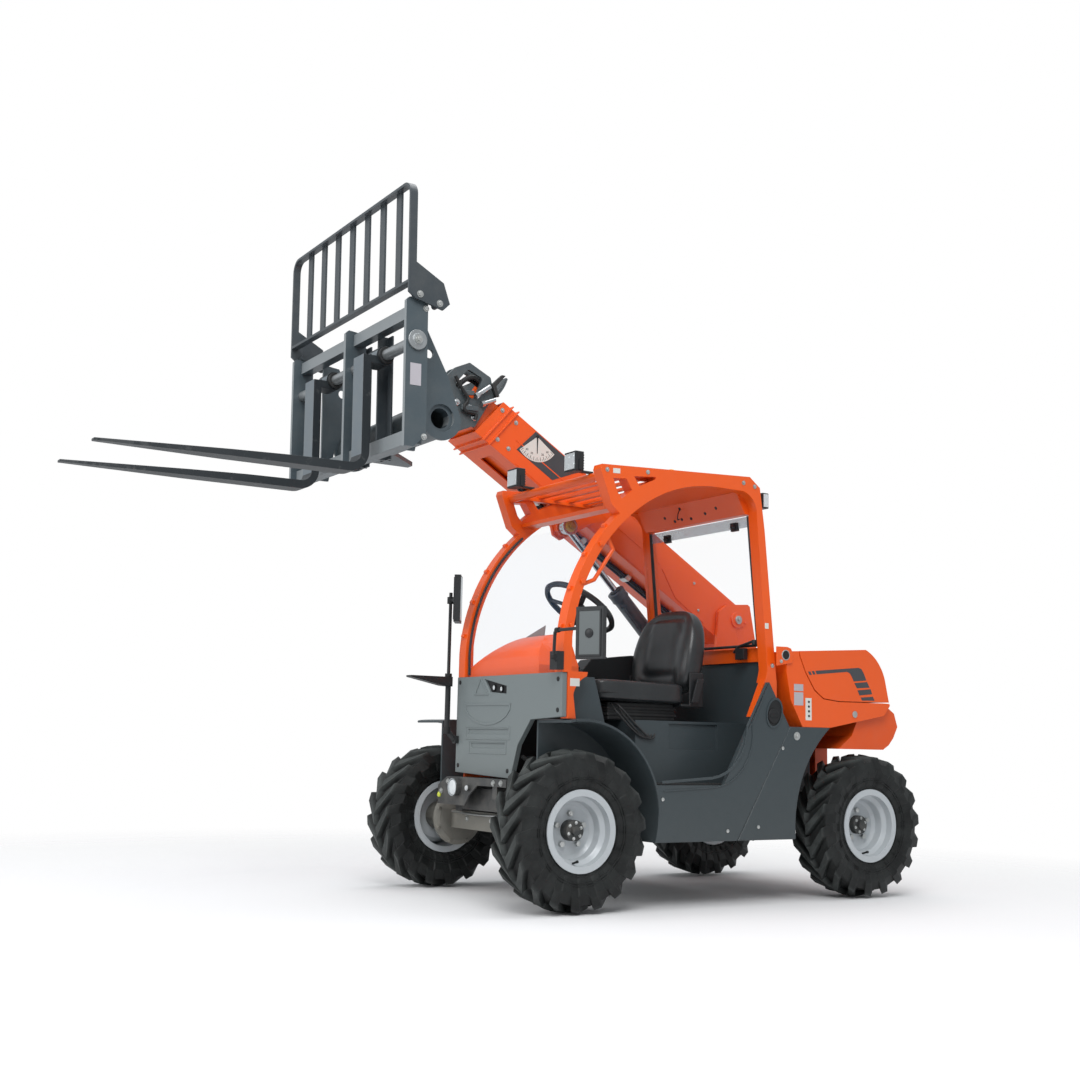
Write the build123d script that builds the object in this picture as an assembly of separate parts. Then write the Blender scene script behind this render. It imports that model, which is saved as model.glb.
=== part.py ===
from build123d import *
import math
import os

# A compact telehandler. Working axes: +X to the machine's left, +Y to its rear, +Z up, ground at Z = 0.
# Y = 0 is halfway between the axles. place() moves all pieces so that the origin is the base centre.

# ---------------------------------------------------------------- driving sizes
WHEELBASE = 1680.0
TRACK = 1168.0
TYRE_OD = 680.0
BODY_HALF = 690.0
CAB_LEFT = BODY_HALF - 30.0
CAB_RIGHT = -235.0
CAB_FRONT = -935.0
BOOM_ANGLE = 31.0
FORK_TILT = 1.0
RUN_GAP = 0.3

AXLE_Z = TYRE_OD / 2
FRONT_Y = -WHEELBASE / 2
REAR_Y = WHEELBASE / 2
WHEEL_X = TRACK / 2

parts = {}


# ---------------------------------------------------------------- small makers
def poly(points):
    return make_face(Polyline(*points, close=True))


def outline(*edges):
    return make_face(Curve() + list(edges))


def slab_x(face, x0, x1):
    """A side-view outline, given as (Y, Z), thickened from x0 to x1."""
    return extrude(Plane.YZ.offset(x0) * face, amount=x1 - x0)


def slab_y(face, y0, y1):
    """A front-view outline, given as (X, Z), thickened from y0 to y1."""
    plane = Plane(origin=(0, y1, 0), x_dir=(1, 0, 0), z_dir=(0, -1, 0))
    return extrude(plane * face, amount=y1 - y0)


def slab_z(face, z0, z1):
    """A plan-view outline, given as (X, Y), thickened from z0 to z1."""
    return extrude(Plane.XY.offset(z0) * face, amount=z1 - z0)


def block(x0, x1, y0, y1, z0, z1):
    return Pos((x0 + x1) / 2, (y0 + y1) / 2, (z0 + z1) / 2) * Box(x1 - x0, y1 - y0, z1 - z0)


def rod(start, end, radius):
    way = Vector(*end) - Vector(*start)
    plane = Plane(origin=start, z_dir=way)
    return plane * Cylinder(radius, way.length, align=(Align.CENTER, Align.CENTER, Align.MIN))


def tube(start, end, radius, bore):
    return rod(start, end, radius) - rod(start, end, bore)


def bent_rod(points, radius):
    """Round bar through the points, with a ball at each bend."""
    bar = rod(points[0], points[1], radius)
    for a, b in zip(points[1:], points[2:]):
        bar += Pos(*a) * Sphere(radius) + rod(a, b, radius)
    return bar


def disc_x(x0, x1, y, z, radius):
    return rod((x0, y, z), (x1, y, z), radius)


def mirror_x(shape):
    return mirror(shape, about=Plane.YZ)


def hex_x(x0, x1, y, z, radius):
    """Hexagonal bolt head or nut along X."""
    return extrude(Plane.YZ.offset(x0) * (Pos(y, z) * RegularPolygon(radius, 6)), amount=x1 - x0)


def skin(rings):
    """Closed solid through rings of points that run in step, faced with triangles."""
    faces = []
    for low, high in zip(rings, rings[1:] + rings[:1]):
        for k in range(len(low)):
            a, b = low[k], low[(k + 1) % len(low)]
            c, d = high[(k + 1) % len(high)], high[k]
            for corners in ((a, b, c), (a, c, d)):
                faces.append(Face(Wire.make_polygon(corners)))
    return Solid(Shell(faces))


# ---------------------------------------------------------------- wheels
TYRE_BORE = 153.1
LUGS = 18
# Half width, radius on a lug, radius between lugs and sweep in degrees, from the middle to the bead.
TYRE_RINGS = (
    (5.0, TYRE_OD / 2, TYRE_OD / 2 - 29, 0.0),
    (103.0, TYRE_OD / 2 - 12, TYRE_OD / 2 - 39, -19.0),
    (120.0, 270.0, 256.0, -23.0),
    (91.5, 177.0, 177.0, -23.0),
    (91.5, TYRE_BORE, TYRE_BORE, -23.0),
)
# Each lug as shares of its pitch: (place, on the lug or not). The right half is half a pitch behind.
LUG_LEFT = ((0.0, True), (0.36, True), (0.44, False), (0.92, False))
LUG_RIGHT = ((-0.06, False), (0.42, False), (0.5, True), (0.86, True))
RIM_SEAT = 152.4
RIM_FLANGE = 172.7
RIM_HALF = 98.0
RIM_LIP = 92.3
HUB_FACE = -8.0
DISC_T = 8.0
HUB_BORE = 30.3
STUB_R = 30.0
NUT_PCD = 140.0
NUTS = 5


def lug_ring(x, land, root, sweep, steps):
    """Points of one ring of the tyre about the X axis."""
    pitch = 360.0 / LUGS
    points = []
    for k in range(LUGS):
        for share, on_lug in steps:
            angle = math.radians((k + share) * pitch + sweep)
            r = land if on_lug else root
            points.append((x, r * math.cos(angle), r * math.sin(angle)))
    return points


def tyre():
    """Tyre with a staggered row of swept lugs on each half, and its bead seat as a plain bore."""
    left = [lug_ring(x, land, root, sweep, LUG_LEFT) for x, land, root, sweep in TYRE_RINGS]
    right = [lug_ring(-x, land, root, sweep, LUG_RIGHT) for x, land, root, sweep in TYRE_RINGS]
    return skin(right[::-1] + left)


def rim(front):
    """Wheel disc, barrel, nuts and hub cap. +X is the outer side."""
    disc_face = HUB_FACE + DISC_T
    barrel = [
        (-RIM_HALF, RIM_FLANGE),
        (-RIM_LIP, RIM_FLANGE),
        (-RIM_LIP, RIM_SEAT),
        (RIM_LIP, RIM_SEAT),
        (RIM_LIP, RIM_FLANGE),
        (RIM_HALF, RIM_FLANGE),
        (RIM_HALF, RIM_SEAT - 8),
        (64, RIM_SEAT - 10),
        (50, 124),
        (12, 120),
        (disc_face, 104),
        (disc_face, HUB_BORE),
        (HUB_FACE, HUB_BORE),
        (HUB_FACE, 110),
        (6, 128),
        (46, 132),
        (56, RIM_SEAT - 8),
        (-RIM_HALF, RIM_SEAT - 8),
    ]
    wheel = revolve(poly(barrel), Axis.X)
    cap_length = 46.0 if front else 30.0
    wheel += disc_x(disc_face, disc_face + cap_length, 0, 0, 44)
    wheel += disc_x(disc_face, disc_face + cap_length + 14, 0, 0, 20)
    for k in range(NUTS):
        angle = math.radians(90 + k * 360.0 / NUTS)
        y, z = NUT_PCD / 2 * math.cos(angle), NUT_PCD / 2 * math.sin(angle)
        wheel += hex_x(disc_face - 1, disc_face + 16, y, z, 13)
    return wheel


WHEELS = (
    ("front_left", 1, FRONT_Y),
    ("front_right", -1, FRONT_Y),
    ("rear_left", 1, REAR_Y),
    ("rear_right", -1, REAR_Y),
)
one_tyre = tyre()
for name, side, y in WHEELS:
    spot = Pos(side * WHEEL_X, y, AXLE_Z)
    one_rim = rim(y == FRONT_Y)
    parts["rim_" + name] = spot * (one_rim if side > 0 else mirror_x(one_rim))
    parts["tyre_" + name] = spot * (one_tyre if side > 0 else mirror_x(one_tyre))

# ---------------------------------------------------------------- axles and knuckles
BEAM_HALF_Y = 45.0
BEAM_LOW = 295.0
BEAM_HIGH = 380.0
HUB_IN = WHEEL_X + HUB_FACE - RUN_GAP
DRUM_R = 128.0
DRUM_IN = 352.0
DRUM_OUT = 420.0
DRUM_BOLTS = 8
KINGPIN_X = 478.0
KINGPIN_R = 18.0
YOKE_Z = 62.0
STEER_ARM = 115.0


def front_axle():
    """Rigid drive axle: beam, bolted drums and the two stub shafts."""
    axle = block(-DRUM_IN, DRUM_IN, FRONT_Y - BEAM_HALF_Y, FRONT_Y + BEAM_HALF_Y, BEAM_LOW, BEAM_HIGH)
    for side in (-1, 1):
        profile = [
            (DRUM_IN, 0),
            (DRUM_IN, DRUM_R - 22),
            (DRUM_IN + 14, DRUM_R),
            (DRUM_IN + 30, DRUM_R),
            (DRUM_IN + 36, DRUM_R - 16),
            (DRUM_OUT, DRUM_R - 24),
            (DRUM_OUT + 40, 66),
            (HUB_IN, 66),
            (HUB_IN, STUB_R),
            (HUB_IN + 8, STUB_R),
            (HUB_IN + 8, 0),
        ]
        drum = revolve(poly(profile), Axis.X)
        for k in range(DRUM_BOLTS):
            angle = math.radians((k + 0.5) * 360.0 / DRUM_BOLTS)
            y, z = (DRUM_R - 10) * math.cos(angle), (DRUM_R - 10) * math.sin(angle)
            drum += hex_x(DRUM_IN - 4, DRUM_IN + 38, y, z, 9)
        drum = drum if side > 0 else mirror_x(drum)
        axle += Pos(0, FRONT_Y, AXLE_Z) * drum
    return axle


def rear_axle():
    """Steering axle: beam with a fork at each end that holds the kingpin."""
    low, high = AXLE_Z - YOKE_Z, AXLE_Z + YOKE_Z
    arm = KINGPIN_X - 66.0
    axle = block(-arm, arm, REAR_Y - BEAM_HALF_Y, REAR_Y + BEAM_HALF_Y, BEAM_LOW, BEAM_HIGH)
    for side in (-1, 1):
        ends = sorted((side * (arm - 26), side * arm))
        axle += block(*ends, REAR_Y - BEAM_HALF_Y, REAR_Y + BEAM_HALF_Y, low - 22, high + 22)
        tongue = sorted((side * (arm - 1), side * KINGPIN_X))
        for z0 in (low - 22, high):
            axle += block(*tongue, REAR_Y - 26, REAR_Y + 26, z0, z0 + 22)
            axle += rod((side * KINGPIN_X, REAR_Y, z0), (side * KINGPIN_X, REAR_Y, z0 + 22), 26)
        for z0, z1 in ((low - 1, low + 26), (high - 26, high + 1)):
            axle += rod((side * KINGPIN_X, REAR_Y, z0), (side * KINGPIN_X, REAR_Y, z1), KINGPIN_R)
    return axle


def knuckle(side):
    """Kingpin block with the stub shaft that the rear wheel turns on, and a steering arm."""
    low, high = AXLE_Z - YOKE_Z + 0.5, AXLE_Z + YOKE_Z - 0.5
    body = rod((side * KINGPIN_X, REAR_Y, low), (side * KINGPIN_X, REAR_Y, high), 34)
    body += rod((side * KINGPIN_X, REAR_Y, AXLE_Z), (side * HUB_IN, REAR_Y, AXLE_Z), 46)
    body += rod((side * (HUB_IN - 10), REAR_Y, AXLE_Z), (side * (HUB_IN + 8), REAR_Y, AXLE_Z), STUB_R)
    arm_x = side * KINGPIN_X
    body += block(arm_x - 14, arm_x + 14, REAR_Y - STEER_ARM, REAR_Y, AXLE_Z - 56, AXLE_Z - 40)
    for z0, z1 in ((low - 1, low + 28), (high - 28, high + 1)):
        body -= rod((side * KINGPIN_X, REAR_Y, z0), (side * KINGPIN_X, REAR_Y, z1), KINGPIN_R + 0.1)
    return body


parts["front_axle"] = front_axle()
parts["rear_axle"] = rear_axle()
parts["knuckle_left"] = knuckle(1)
parts["knuckle_right"] = knuckle(-1)

# ---------------------------------------------------------------- chassis with the boom tower
RAIL_X = 205.0
RAIL_W = 60.0
RAIL_LOW = BEAM_HIGH
RAIL_HIGH = 500.0
FRAME_FRONT = -930.0
FRAME_REAR = 905.0
BOOM_W = 280.0
BOOM_H = 234.0
BOOM_LEFT = -345.0
BOOM_X = BOOM_LEFT - BOOM_W / 2
PIN_Y = 862.0
PIN_Z = 1394.0
PIN_R = 26.0
PIN_TO_TOP = 82.0
TOWER_GAP = 4.0
TOWER_T = 20.0
LIFT_X = -290.0
LIFT_BASE_Y = 560.0
LIFT_BASE_Z = 946.0
LIFT_PIN_R = 18.0
LIFT_LUG_T = 5.0
DECK_LOW = 765.0
DECK_HIGH = 800.0
PEDESTAL_X = -300.0


# Side view of a tower cheek, Y from the boom's pin and Z from the ground.
CHEEK = (
    (-172.0, DECK_LOW),
    (-150.0, 1180.0),
    (-129.0, 1432.0),
    (-72.0, 1474.0),
    (80.0, 1485.0),
    (95.0, 1475.0),
    (146.0, 1232.0),
    (104.0, 1000.0),
    (90.0, DECK_LOW),
)


def chassis():
    frame = None
    for side in (-1, 1):
        rail = block(
            side * RAIL_X - RAIL_W / 2,
            side * RAIL_X + RAIL_W / 2,
            FRAME_FRONT,
            FRAME_REAR,
            RAIL_LOW,
            RAIL_HIGH,
        )
        frame = rail if frame is None else frame + rail
    for y in (FRAME_FRONT + 15, -430, 250, FRAME_REAR - 15):
        frame += block(-RAIL_X, RAIL_X, y - 15, y + 15, RAIL_LOW + 10, RAIL_HIGH - 10)
    return frame


def boom_tower():
    """Pedestal and deck, two cheeks with the boom's pin, and the lift cylinder's lug."""
    left_x = BOOM_LEFT + TOWER_GAP
    right_x = BOOM_LEFT - BOOM_W - TOWER_GAP - TOWER_T
    cheek = poly([(PIN_Y + y, z) for y, z in CHEEK])
    tower = block(PEDESTAL_X, -RAIL_X + 20, PIN_Y - 180, FRAME_REAR, RAIL_HIGH, DECK_HIGH)
    tower += block(right_x, -RAIL_X + 20, PIN_Y - 180, PIN_Y + 90, DECK_LOW, DECK_HIGH)
    for x0 in (left_x, right_x):
        tower += slab_x(cheek, x0, x0 + TOWER_T)
    tower += disc_x(right_x - 14, left_x + TOWER_T + 14, PIN_Y, PIN_Z, PIN_R)
    for x0 in (right_x - 10, left_x + TOWER_T):
        tower += disc_x(x0, x0 + 10, PIN_Y, PIN_Z, PIN_R + 18)
    lug = poly(
        [
            (LIFT_BASE_Y - 45, LIFT_BASE_Z),
            (LIFT_BASE_Y + 20, LIFT_BASE_Z - 60),
            (PIN_Y - 172, DECK_LOW),
            (PIN_Y - 120, LIFT_BASE_Z + 40),
            (LIFT_BASE_Y + 20, LIFT_BASE_Z + 45),
        ]
    )
    tower += slab_x(lug, left_x, left_x + LIFT_LUG_T)
    tower += disc_x(left_x, left_x + LIFT_LUG_T, LIFT_BASE_Y, LIFT_BASE_Z, 45)
    tower += disc_x(left_x, LIFT_X + 30, LIFT_BASE_Y, LIFT_BASE_Z, LIFT_PIN_R)
    return tower


parts["chassis_frame"] = chassis()
parts["boom_tower"] = boom_tower()

# ---------------------------------------------------------------- boom
# Boom pieces are drawn in their own plane: s runs forward along the boom from its pin, n is square to it.
angle = math.radians(BOOM_ANGLE)
ALONG = Vector(0, -math.cos(angle), math.sin(angle))
SQUARE = Vector(0, math.sin(angle), math.cos(angle))
BOOM_TOP = PIN_TO_TOP
BOOM_LOW = PIN_TO_TOP - BOOM_H
BOOM_WALL = 8.0
MOUTH_TOP = 1824.0
MOUTH_LOW = 1872.0
INNER_W = 220.0
INNER_H = 190.0
INNER_REAR = 260.0
PAD_GAP = 0.4
HOSE_SLOT_S = 1480.0
HEAD_X = BOOM_LEFT - 80.0
HEAD_PLATE = 18.0
WEB_DEPTH = 250.0
WEB_REACH = -60.0
HEAD_S = 1990.0
PIVOT_Y = -1436.0
PIVOT_Z = 2059.0
TUBE_R = 80.0
TUBE_BORE = 62.0
CROSS_HALF = 430.0
LIFT_EYE_Y = -299.0
LIFT_EYE_Z = 1793.0


def boom_plane(x):
    return Plane(origin=(x, PIN_Y, PIN_Z), x_dir=ALONG, z_dir=(-1, 0, 0))


def boom_slab(face, x0, x1):
    """An outline in (s, n) thickened from x1 down to x0."""
    return extrude(boom_plane(x1) * face, amount=x1 - x0)


def boom_block(x0, x1, s0, s1, n0, n1):
    return boom_slab(poly([(s0, n0), (s1, n0), (s1, n1), (s0, n1)]), x0, x1)


def to_boom(y, z):
    """Side-view point as (s, n) of the boom."""
    way = Vector(0, y - PIN_Y, z - PIN_Z)
    return way.dot(ALONG), way.dot(SQUARE)


EYE_S, EYE_N = to_boom(LIFT_EYE_Y, LIFT_EYE_Z)
PIVOT_S, PIVOT_N = to_boom(PIVOT_Y, PIVOT_Z)
INNER_LOW = (BOOM_TOP + BOOM_LOW) / 2 - INNER_H / 2
INNER_TOP = INNER_LOW + INNER_H
INNER_X0 = BOOM_X - INNER_W / 2
INNER_X1 = BOOM_X + INNER_W / 2


def boom_outer():
    x0, x1 = BOOM_X - BOOM_W / 2, BOOM_X + BOOM_W / 2
    shell = [
        (0, BOOM_TOP),
        (MOUTH_TOP, BOOM_TOP),
        (MOUTH_LOW, BOOM_LOW),
        (0, BOOM_LOW),
        (-88, -60),
        (-88, 40),
    ]
    boom = boom_slab(poly(shell), x0, x1)
    boom -= boom_block(
        x0 + BOOM_WALL, x1 - BOOM_WALL, 120, MOUTH_LOW + 50, BOOM_LOW + BOOM_WALL, BOOM_TOP - BOOM_WALL
    )
    boom -= disc_x(x0 - 1, x1 + 1, PIN_Y, PIN_Z, PIN_R + 0.1)
    for back in (60, 100):
        collar = [
            (MOUTH_TOP - back, BOOM_TOP + 12),
            (MOUTH_TOP - back + 8, BOOM_TOP + 12),
            (MOUTH_LOW - back + 8, BOOM_LOW - 12),
            (MOUTH_LOW - back, BOOM_LOW - 12),
        ]
        ring = boom_slab(poly(collar), x0 - 12, x1 + 12)
        boom += ring - boom_block(x0 + 4, x1 - 4, 1500, MOUTH_LOW + 60, BOOM_LOW + 4, BOOM_TOP - 4)
    boom -= boom_block(BOOM_X - 55, BOOM_X + 55, HOSE_SLOT_S, HOSE_SLOT_S + 220, BOOM_LOW - 30, BOOM_LOW + 12)
    bracket = [
        (EYE_S - 150, BOOM_LOW + 40),
        (EYE_S + 110, BOOM_LOW + 40),
        (EYE_S + 62, EYE_N - 20),
        (EYE_S + 20, EYE_N - 60),
        (EYE_S - 30, EYE_N - 55),
    ]
    boom += boom_slab(poly(bracket), x1 - 12, x1 + 6)
    boom += disc_x(x1 - 12, LIFT_X - 21, LIFT_EYE_Y, LIFT_EYE_Z, 45)
    pad = 90.0
    s1 = MOUTH_TOP - 20
    s0 = s1 - pad
    boom += boom_block(INNER_X0 + 20, INNER_X1 - 20, s0, s1, BOOM_LOW + 4, INNER_LOW - PAD_GAP)
    boom += boom_block(INNER_X0 + 20, INNER_X1 - 20, s0, s1, INNER_TOP + PAD_GAP, BOOM_TOP - 4)
    boom += boom_block(x0 + 4, INNER_X0 - PAD_GAP, s0, s1, INNER_LOW + 20, INNER_TOP - 20)
    boom += boom_block(INNER_X1 + PAD_GAP, x1 - 4, s0, s1, INNER_LOW + 20, INNER_TOP - 20)
    return boom


def boom_inner():
    """Telescoping section with the slide pads at its rear end."""
    wall = 8.0
    section = boom_block(INNER_X0, INNER_X1, INNER_REAR, HEAD_S, INNER_LOW, INNER_TOP)
    section -= boom_block(
        INNER_X0 + wall, INNER_X1 - wall, INNER_REAR - 10, HEAD_S - 40, INNER_LOW + wall, INNER_TOP - wall
    )
    x0, x1 = BOOM_X - BOOM_W / 2 + BOOM_WALL, BOOM_X + BOOM_W / 2 - BOOM_WALL
    s0, s1 = INNER_REAR, INNER_REAR + 90
    section += boom_block(x0 + PAD_GAP, INNER_X0 + 1, s0, s1, INNER_LOW + 20, INNER_TOP - 20)
    section += boom_block(INNER_X1 - 1, x1 - PAD_GAP, s0, s1, INNER_LOW + 20, INNER_TOP - 20)
    section += boom_block(INNER_X0 + 20, INNER_X1 - 20, s0, s1, INNER_TOP - 1, BOOM_TOP - BOOM_WALL - PAD_GAP)
    section += boom_block(INNER_X0 + 20, INNER_X1 - 20, s0, s1, BOOM_LOW + BOOM_WALL + PAD_GAP, INNER_LOW + 1)
    return section


def boom_head():
    """Head casting on the end of the section, with the cross tube that the carriage hangs on."""
    left = BOOM_LEFT - 2
    cheek = [
        (1885, BOOM_TOP - 6),
        (1950, BOOM_TOP + 58),
        (2085, BOOM_TOP + 44),
        (2135, BOOM_TOP - 30),
        (2200, -260),
        (PIVOT_S + 72, PIVOT_N + 30),
        (PIVOT_S - 40, PIVOT_N - 68),
        (2030, -330),
        (1885, INNER_LOW + 10),
    ]
    window = poly([(1965, -20), (1982, BOOM_TOP + 24), (2074, BOOM_TOP + 10), (2092, -30)])
    window = fillet(window.vertices(), 16)
    head = boom_block(INNER_X0, INNER_X1, HEAD_S, HEAD_S + 25, INNER_LOW, INNER_TOP)
    for x in (HEAD_X, left - HEAD_PLATE):
        plate = boom_slab(fillet(poly(cheek).vertices(), 12), x, x + HEAD_PLATE)
        head += plate - boom_slab(window, x - 1, x + HEAD_PLATE + 1)
    head += boom_block(HEAD_X, left, 1885, 1905, INNER_LOW, BOOM_TOP - 8)
    nose = poly([(2110, BOOM_TOP - 40), (2128, BOOM_TOP - 36), (2194, -260), (2176, -262)])
    head += boom_slab(nose, HEAD_X, left)
    shield = outline(
        Line((1915, BOOM_TOP - 60), (1893, BOOM_TOP - 60)),
        ThreePointArc((1893, BOOM_TOP - 60), (1862, BOOM_TOP + 30), (1868, BOOM_TOP + 118)),
        Line((1868, BOOM_TOP + 118), (1880, BOOM_TOP + 116)),
        ThreePointArc((1880, BOOM_TOP + 116), (1878, BOOM_TOP + 30), (1915, BOOM_TOP - 60)),
    )
    head += boom_slab(shield, HEAD_X - 40, left)
    head += disc_x(-CROSS_HALF, CROSS_HALF, PIVOT_Y, PIVOT_Z, TUBE_R)
    gusset = [
        (left, PIVOT_Y),
        (WEB_REACH, PIVOT_Y),
        (left + 47, PIVOT_Y + WEB_DEPTH),
        (left, PIVOT_Y + WEB_DEPTH),
    ]
    head += slab_z(poly(gusset), PIVOT_Z - 60, PIVOT_Z - 40)
    head -= boom_block(INNER_X0, INNER_X1, INNER_REAR, HEAD_S, INNER_LOW, INNER_TOP)
    head -= disc_x(-CROSS_HALF - 1, CROSS_HALF + 1, PIVOT_Y, PIVOT_Z, TUBE_BORE)
    return head


parts["boom_outer"] = boom_outer()
parts["boom_inner"] = boom_inner()
parts["boom_head"] = boom_head()

# ---------------------------------------------------------------- lift cylinder
BARREL_R = 42.0
ROD_R = 17.5
BARREL_LEN = 764.0
lift_way = Vector(0, LIFT_EYE_Y - LIFT_BASE_Y, LIFT_EYE_Z - LIFT_BASE_Z)
LIFT_LEN = lift_way.length
lift_dir = lift_way.normalized()


def on_lift(distance):
    point = Vector(LIFT_X, LIFT_BASE_Y, LIFT_BASE_Z) + lift_dir * distance
    return (point.X, point.Y, point.Z)


def lift_barrel():
    body = rod(on_lift(30), on_lift(BARREL_LEN), BARREL_R)
    body += rod(on_lift(BARREL_LEN - 40), on_lift(BARREL_LEN), BARREL_R + 4)
    body += disc_x(LIFT_X - 24, LIFT_X + 24, LIFT_BASE_Y, LIFT_BASE_Z, 40)
    body -= disc_x(LIFT_X - 50, LIFT_X + 50, LIFT_BASE_Y, LIFT_BASE_Z, LIFT_PIN_R + 0.1)
    body -= rod(on_lift(60), on_lift(BARREL_LEN + 5), ROD_R + 0.1)
    return body


def lift_rod():
    body = rod(on_lift(470), on_lift(LIFT_LEN - 20), ROD_R)
    body += disc_x(LIFT_X - 20, LIFT_X + 20, LIFT_EYE_Y, LIFT_EYE_Z, 38)
    body += disc_x(LIFT_X + 20, LIFT_X + 36, LIFT_EYE_Y, LIFT_EYE_Z, 44)
    return body


parts["lift_barrel"] = lift_barrel()
parts["lift_rod"] = lift_rod()

# ---------------------------------------------------------------- carriage, forks and load backrest
# Drawn level, then tilted forward about the head's cross tube by FORK_TILT.
CARRIAGE_HALF = 600.0
PLATE_T = 20.0
FACE_Y = PIVOT_Y - 254.0
PLATE_BACK = PIVOT_Y - 154.0
BEAM_BACK = PLATE_BACK - 10.0
PLATE_LOW = 1885.0
PLATE_HIGH = 2510.0
SHAFT_Y = PIVOT_Y - 204.0
SHAFT_Z = 2330.0
SHAFT_R = 24.0
FORK_W = 100.0
FORK_T = 38.0
FORK_LEN = 1095.0
FORK_X = 260.0
GUSSET_X = 446.0
BARS = 7
REST_TOP = 3005.0
REST_LOW = 2565.0
REST_FLAT = 46.0
REST_ROUND = 60.0
REST_SIDE = 12.0


def tilted(shape):
    turned = Pos(0, -PIVOT_Y, -PIVOT_Z) * shape
    turned = Rot(FORK_TILT, 0, 0) * turned
    return Pos(0, PIVOT_Y, PIVOT_Z) * turned


def carriage():
    plate = poly(
        [
            (FACE_Y, PLATE_LOW),
            (PLATE_BACK - 55, PLATE_LOW),
            (PLATE_BACK, PLATE_LOW + 55),
            (PLATE_BACK, PLATE_HIGH - 10),
            (FACE_Y + 15, PLATE_HIGH),
            (FACE_Y, PLATE_HIGH - 15),
        ]
    )
    frame = None
    for x in (-CARRIAGE_HALF, -PLATE_T / 2, CARRIAGE_HALF - PLATE_T):
        upright = slab_x(plate, x, x + PLATE_T)
        frame = upright if frame is None else frame + upright
    inner = CARRIAGE_HALF - PLATE_T + 1
    frame += block(-inner, inner, BEAM_BACK - 50, BEAM_BACK, 2440, 2492)
    frame += block(-inner, inner, BEAM_BACK - 60, BEAM_BACK, 1902, 1962)
    side = outline(
        Line((BEAM_BACK, 1902), (BEAM_BACK, 2460)),
        Line((BEAM_BACK, 2460), (BEAM_BACK + 80, 2450)),
        Line((BEAM_BACK + 80, 2450), (PIVOT_Y + 30, 2240)),
        Line((PIVOT_Y + 30, 2240), (PIVOT_Y + 96, PIVOT_Z)),
        ThreePointArc((PIVOT_Y + 96, PIVOT_Z), (PIVOT_Y, PIVOT_Z - 96), (PIVOT_Y - 96, PIVOT_Z)),
        Line((PIVOT_Y - 96, PIVOT_Z), (BEAM_BACK + 40, 1902)),
        Line((BEAM_BACK + 40, 1902), (BEAM_BACK, 1902)),
    )
    for side_x in (-GUSSET_X, GUSSET_X - 14):
        gusset = slab_x(side, side_x, side_x + 14)
        gusset -= disc_x(side_x - 1, side_x + 15, BEAM_BACK + 100, SHAFT_Z, 20)
        gusset -= disc_x(side_x - 1, side_x + 15, PIVOT_Y, PIVOT_Z, TUBE_BORE - 2)
        frame += gusset
        inward = side_x + 14 if side_x < 0 else side_x
        ends = sorted((inward, inward + (50 if side_x < 0 else -50)))
        frame += tube((ends[0] - 1, PIVOT_Y, PIVOT_Z), (ends[1], PIVOT_Y, PIVOT_Z), TUBE_BORE - 0.3, 44)
    frame -= disc_x(-CARRIAGE_HALF - 1, CARRIAGE_HALF + 1, SHAFT_Y, SHAFT_Z, SHAFT_R + 0.3)
    return frame


def fork_shaft():
    shaft = disc_x(-CARRIAGE_HALF - 16, CARRIAGE_HALF + 16, SHAFT_Y, SHAFT_Z, SHAFT_R)
    for x0 in (-CARRIAGE_HALF - 12, CARRIAGE_HALF + 0.3):
        shaft += disc_x(x0, x0 + 11.7, SHAFT_Y, SHAFT_Z, 42)
    return shaft


def fork(x):
    """One L-shaped tine hung on the shaft by its rolled eye."""
    heel = 90.0
    back = FACE_Y - 14
    low = 1815.0
    front = back - FORK_T
    tip_y = front - FORK_LEN
    side_view = outline(
        Line((back, SHAFT_Z), (back, low + heel)),
        ThreePointArc(
            (back, low + heel), (back - heel * 0.293, low + heel * 0.293), (back - heel, low)
        ),
        Line((back - heel, low), (tip_y, low + 12)),
        Line((tip_y, low + 12), (tip_y, low + 22)),
        Line((tip_y, low + 22), (front - 300, low + FORK_T)),
        Line((front - 300, low + FORK_T), (front - heel * 0.5, low + FORK_T)),
        ThreePointArc(
            (front - heel * 0.5, low + FORK_T),
            (front - heel * 0.146, low + FORK_T + heel * 0.146),
            (front, low + FORK_T + heel * 0.5),
        ),
        Line((front, low + FORK_T + heel * 0.5), (front, SHAFT_Z - 20)),
        Line((front, SHAFT_Z - 20), (back, SHAFT_Z)),
    )
    tine = slab_x(side_view, x - FORK_W / 2, x + FORK_W / 2)
    taper = 32.0
    for side in (-1, 1):
        corner = [
            (x + side * FORK_W / 2, front - 560),
            (x + side * (FORK_W / 2 + 5), front - 560),
            (x + side * (FORK_W / 2 + 5), tip_y - 5),
            (x + side * (FORK_W / 2 - taper), tip_y - 5),
        ]
        tine -= slab_z(poly(corner), low - 5, low + FORK_T + 5)
    tine += disc_x(x - FORK_W / 2, x + FORK_W / 2, SHAFT_Y, SHAFT_Z, SHAFT_R + 18)
    tine += block(x - FORK_W / 2, x + FORK_W / 2, front, SHAFT_Y, SHAFT_Z - 40, SHAFT_Z - 5)
    tine -= disc_x(x - FORK_W, x + FORK_W, SHAFT_Y, SHAFT_Z, SHAFT_R + 0.3)
    return tine


def rest_outline(half, low, high, radius):
    """Front outline of the backrest: square at the bottom, rounded at the top."""
    slope = radius * (1 - math.sqrt(0.5))
    return outline(
        Line((-half, low), (-half, high - radius)),
        ThreePointArc((-half, high - radius), (-half + slope, high - slope), (-half + radius, high)),
        Line((-half + radius, high), (half - radius, high)),
        ThreePointArc((half - radius, high), (half - slope, high - slope), (half, high - radius)),
        Line((half, high - radius), (half, low)),
        Line((half, low), (-half, low)),
    )


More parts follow.
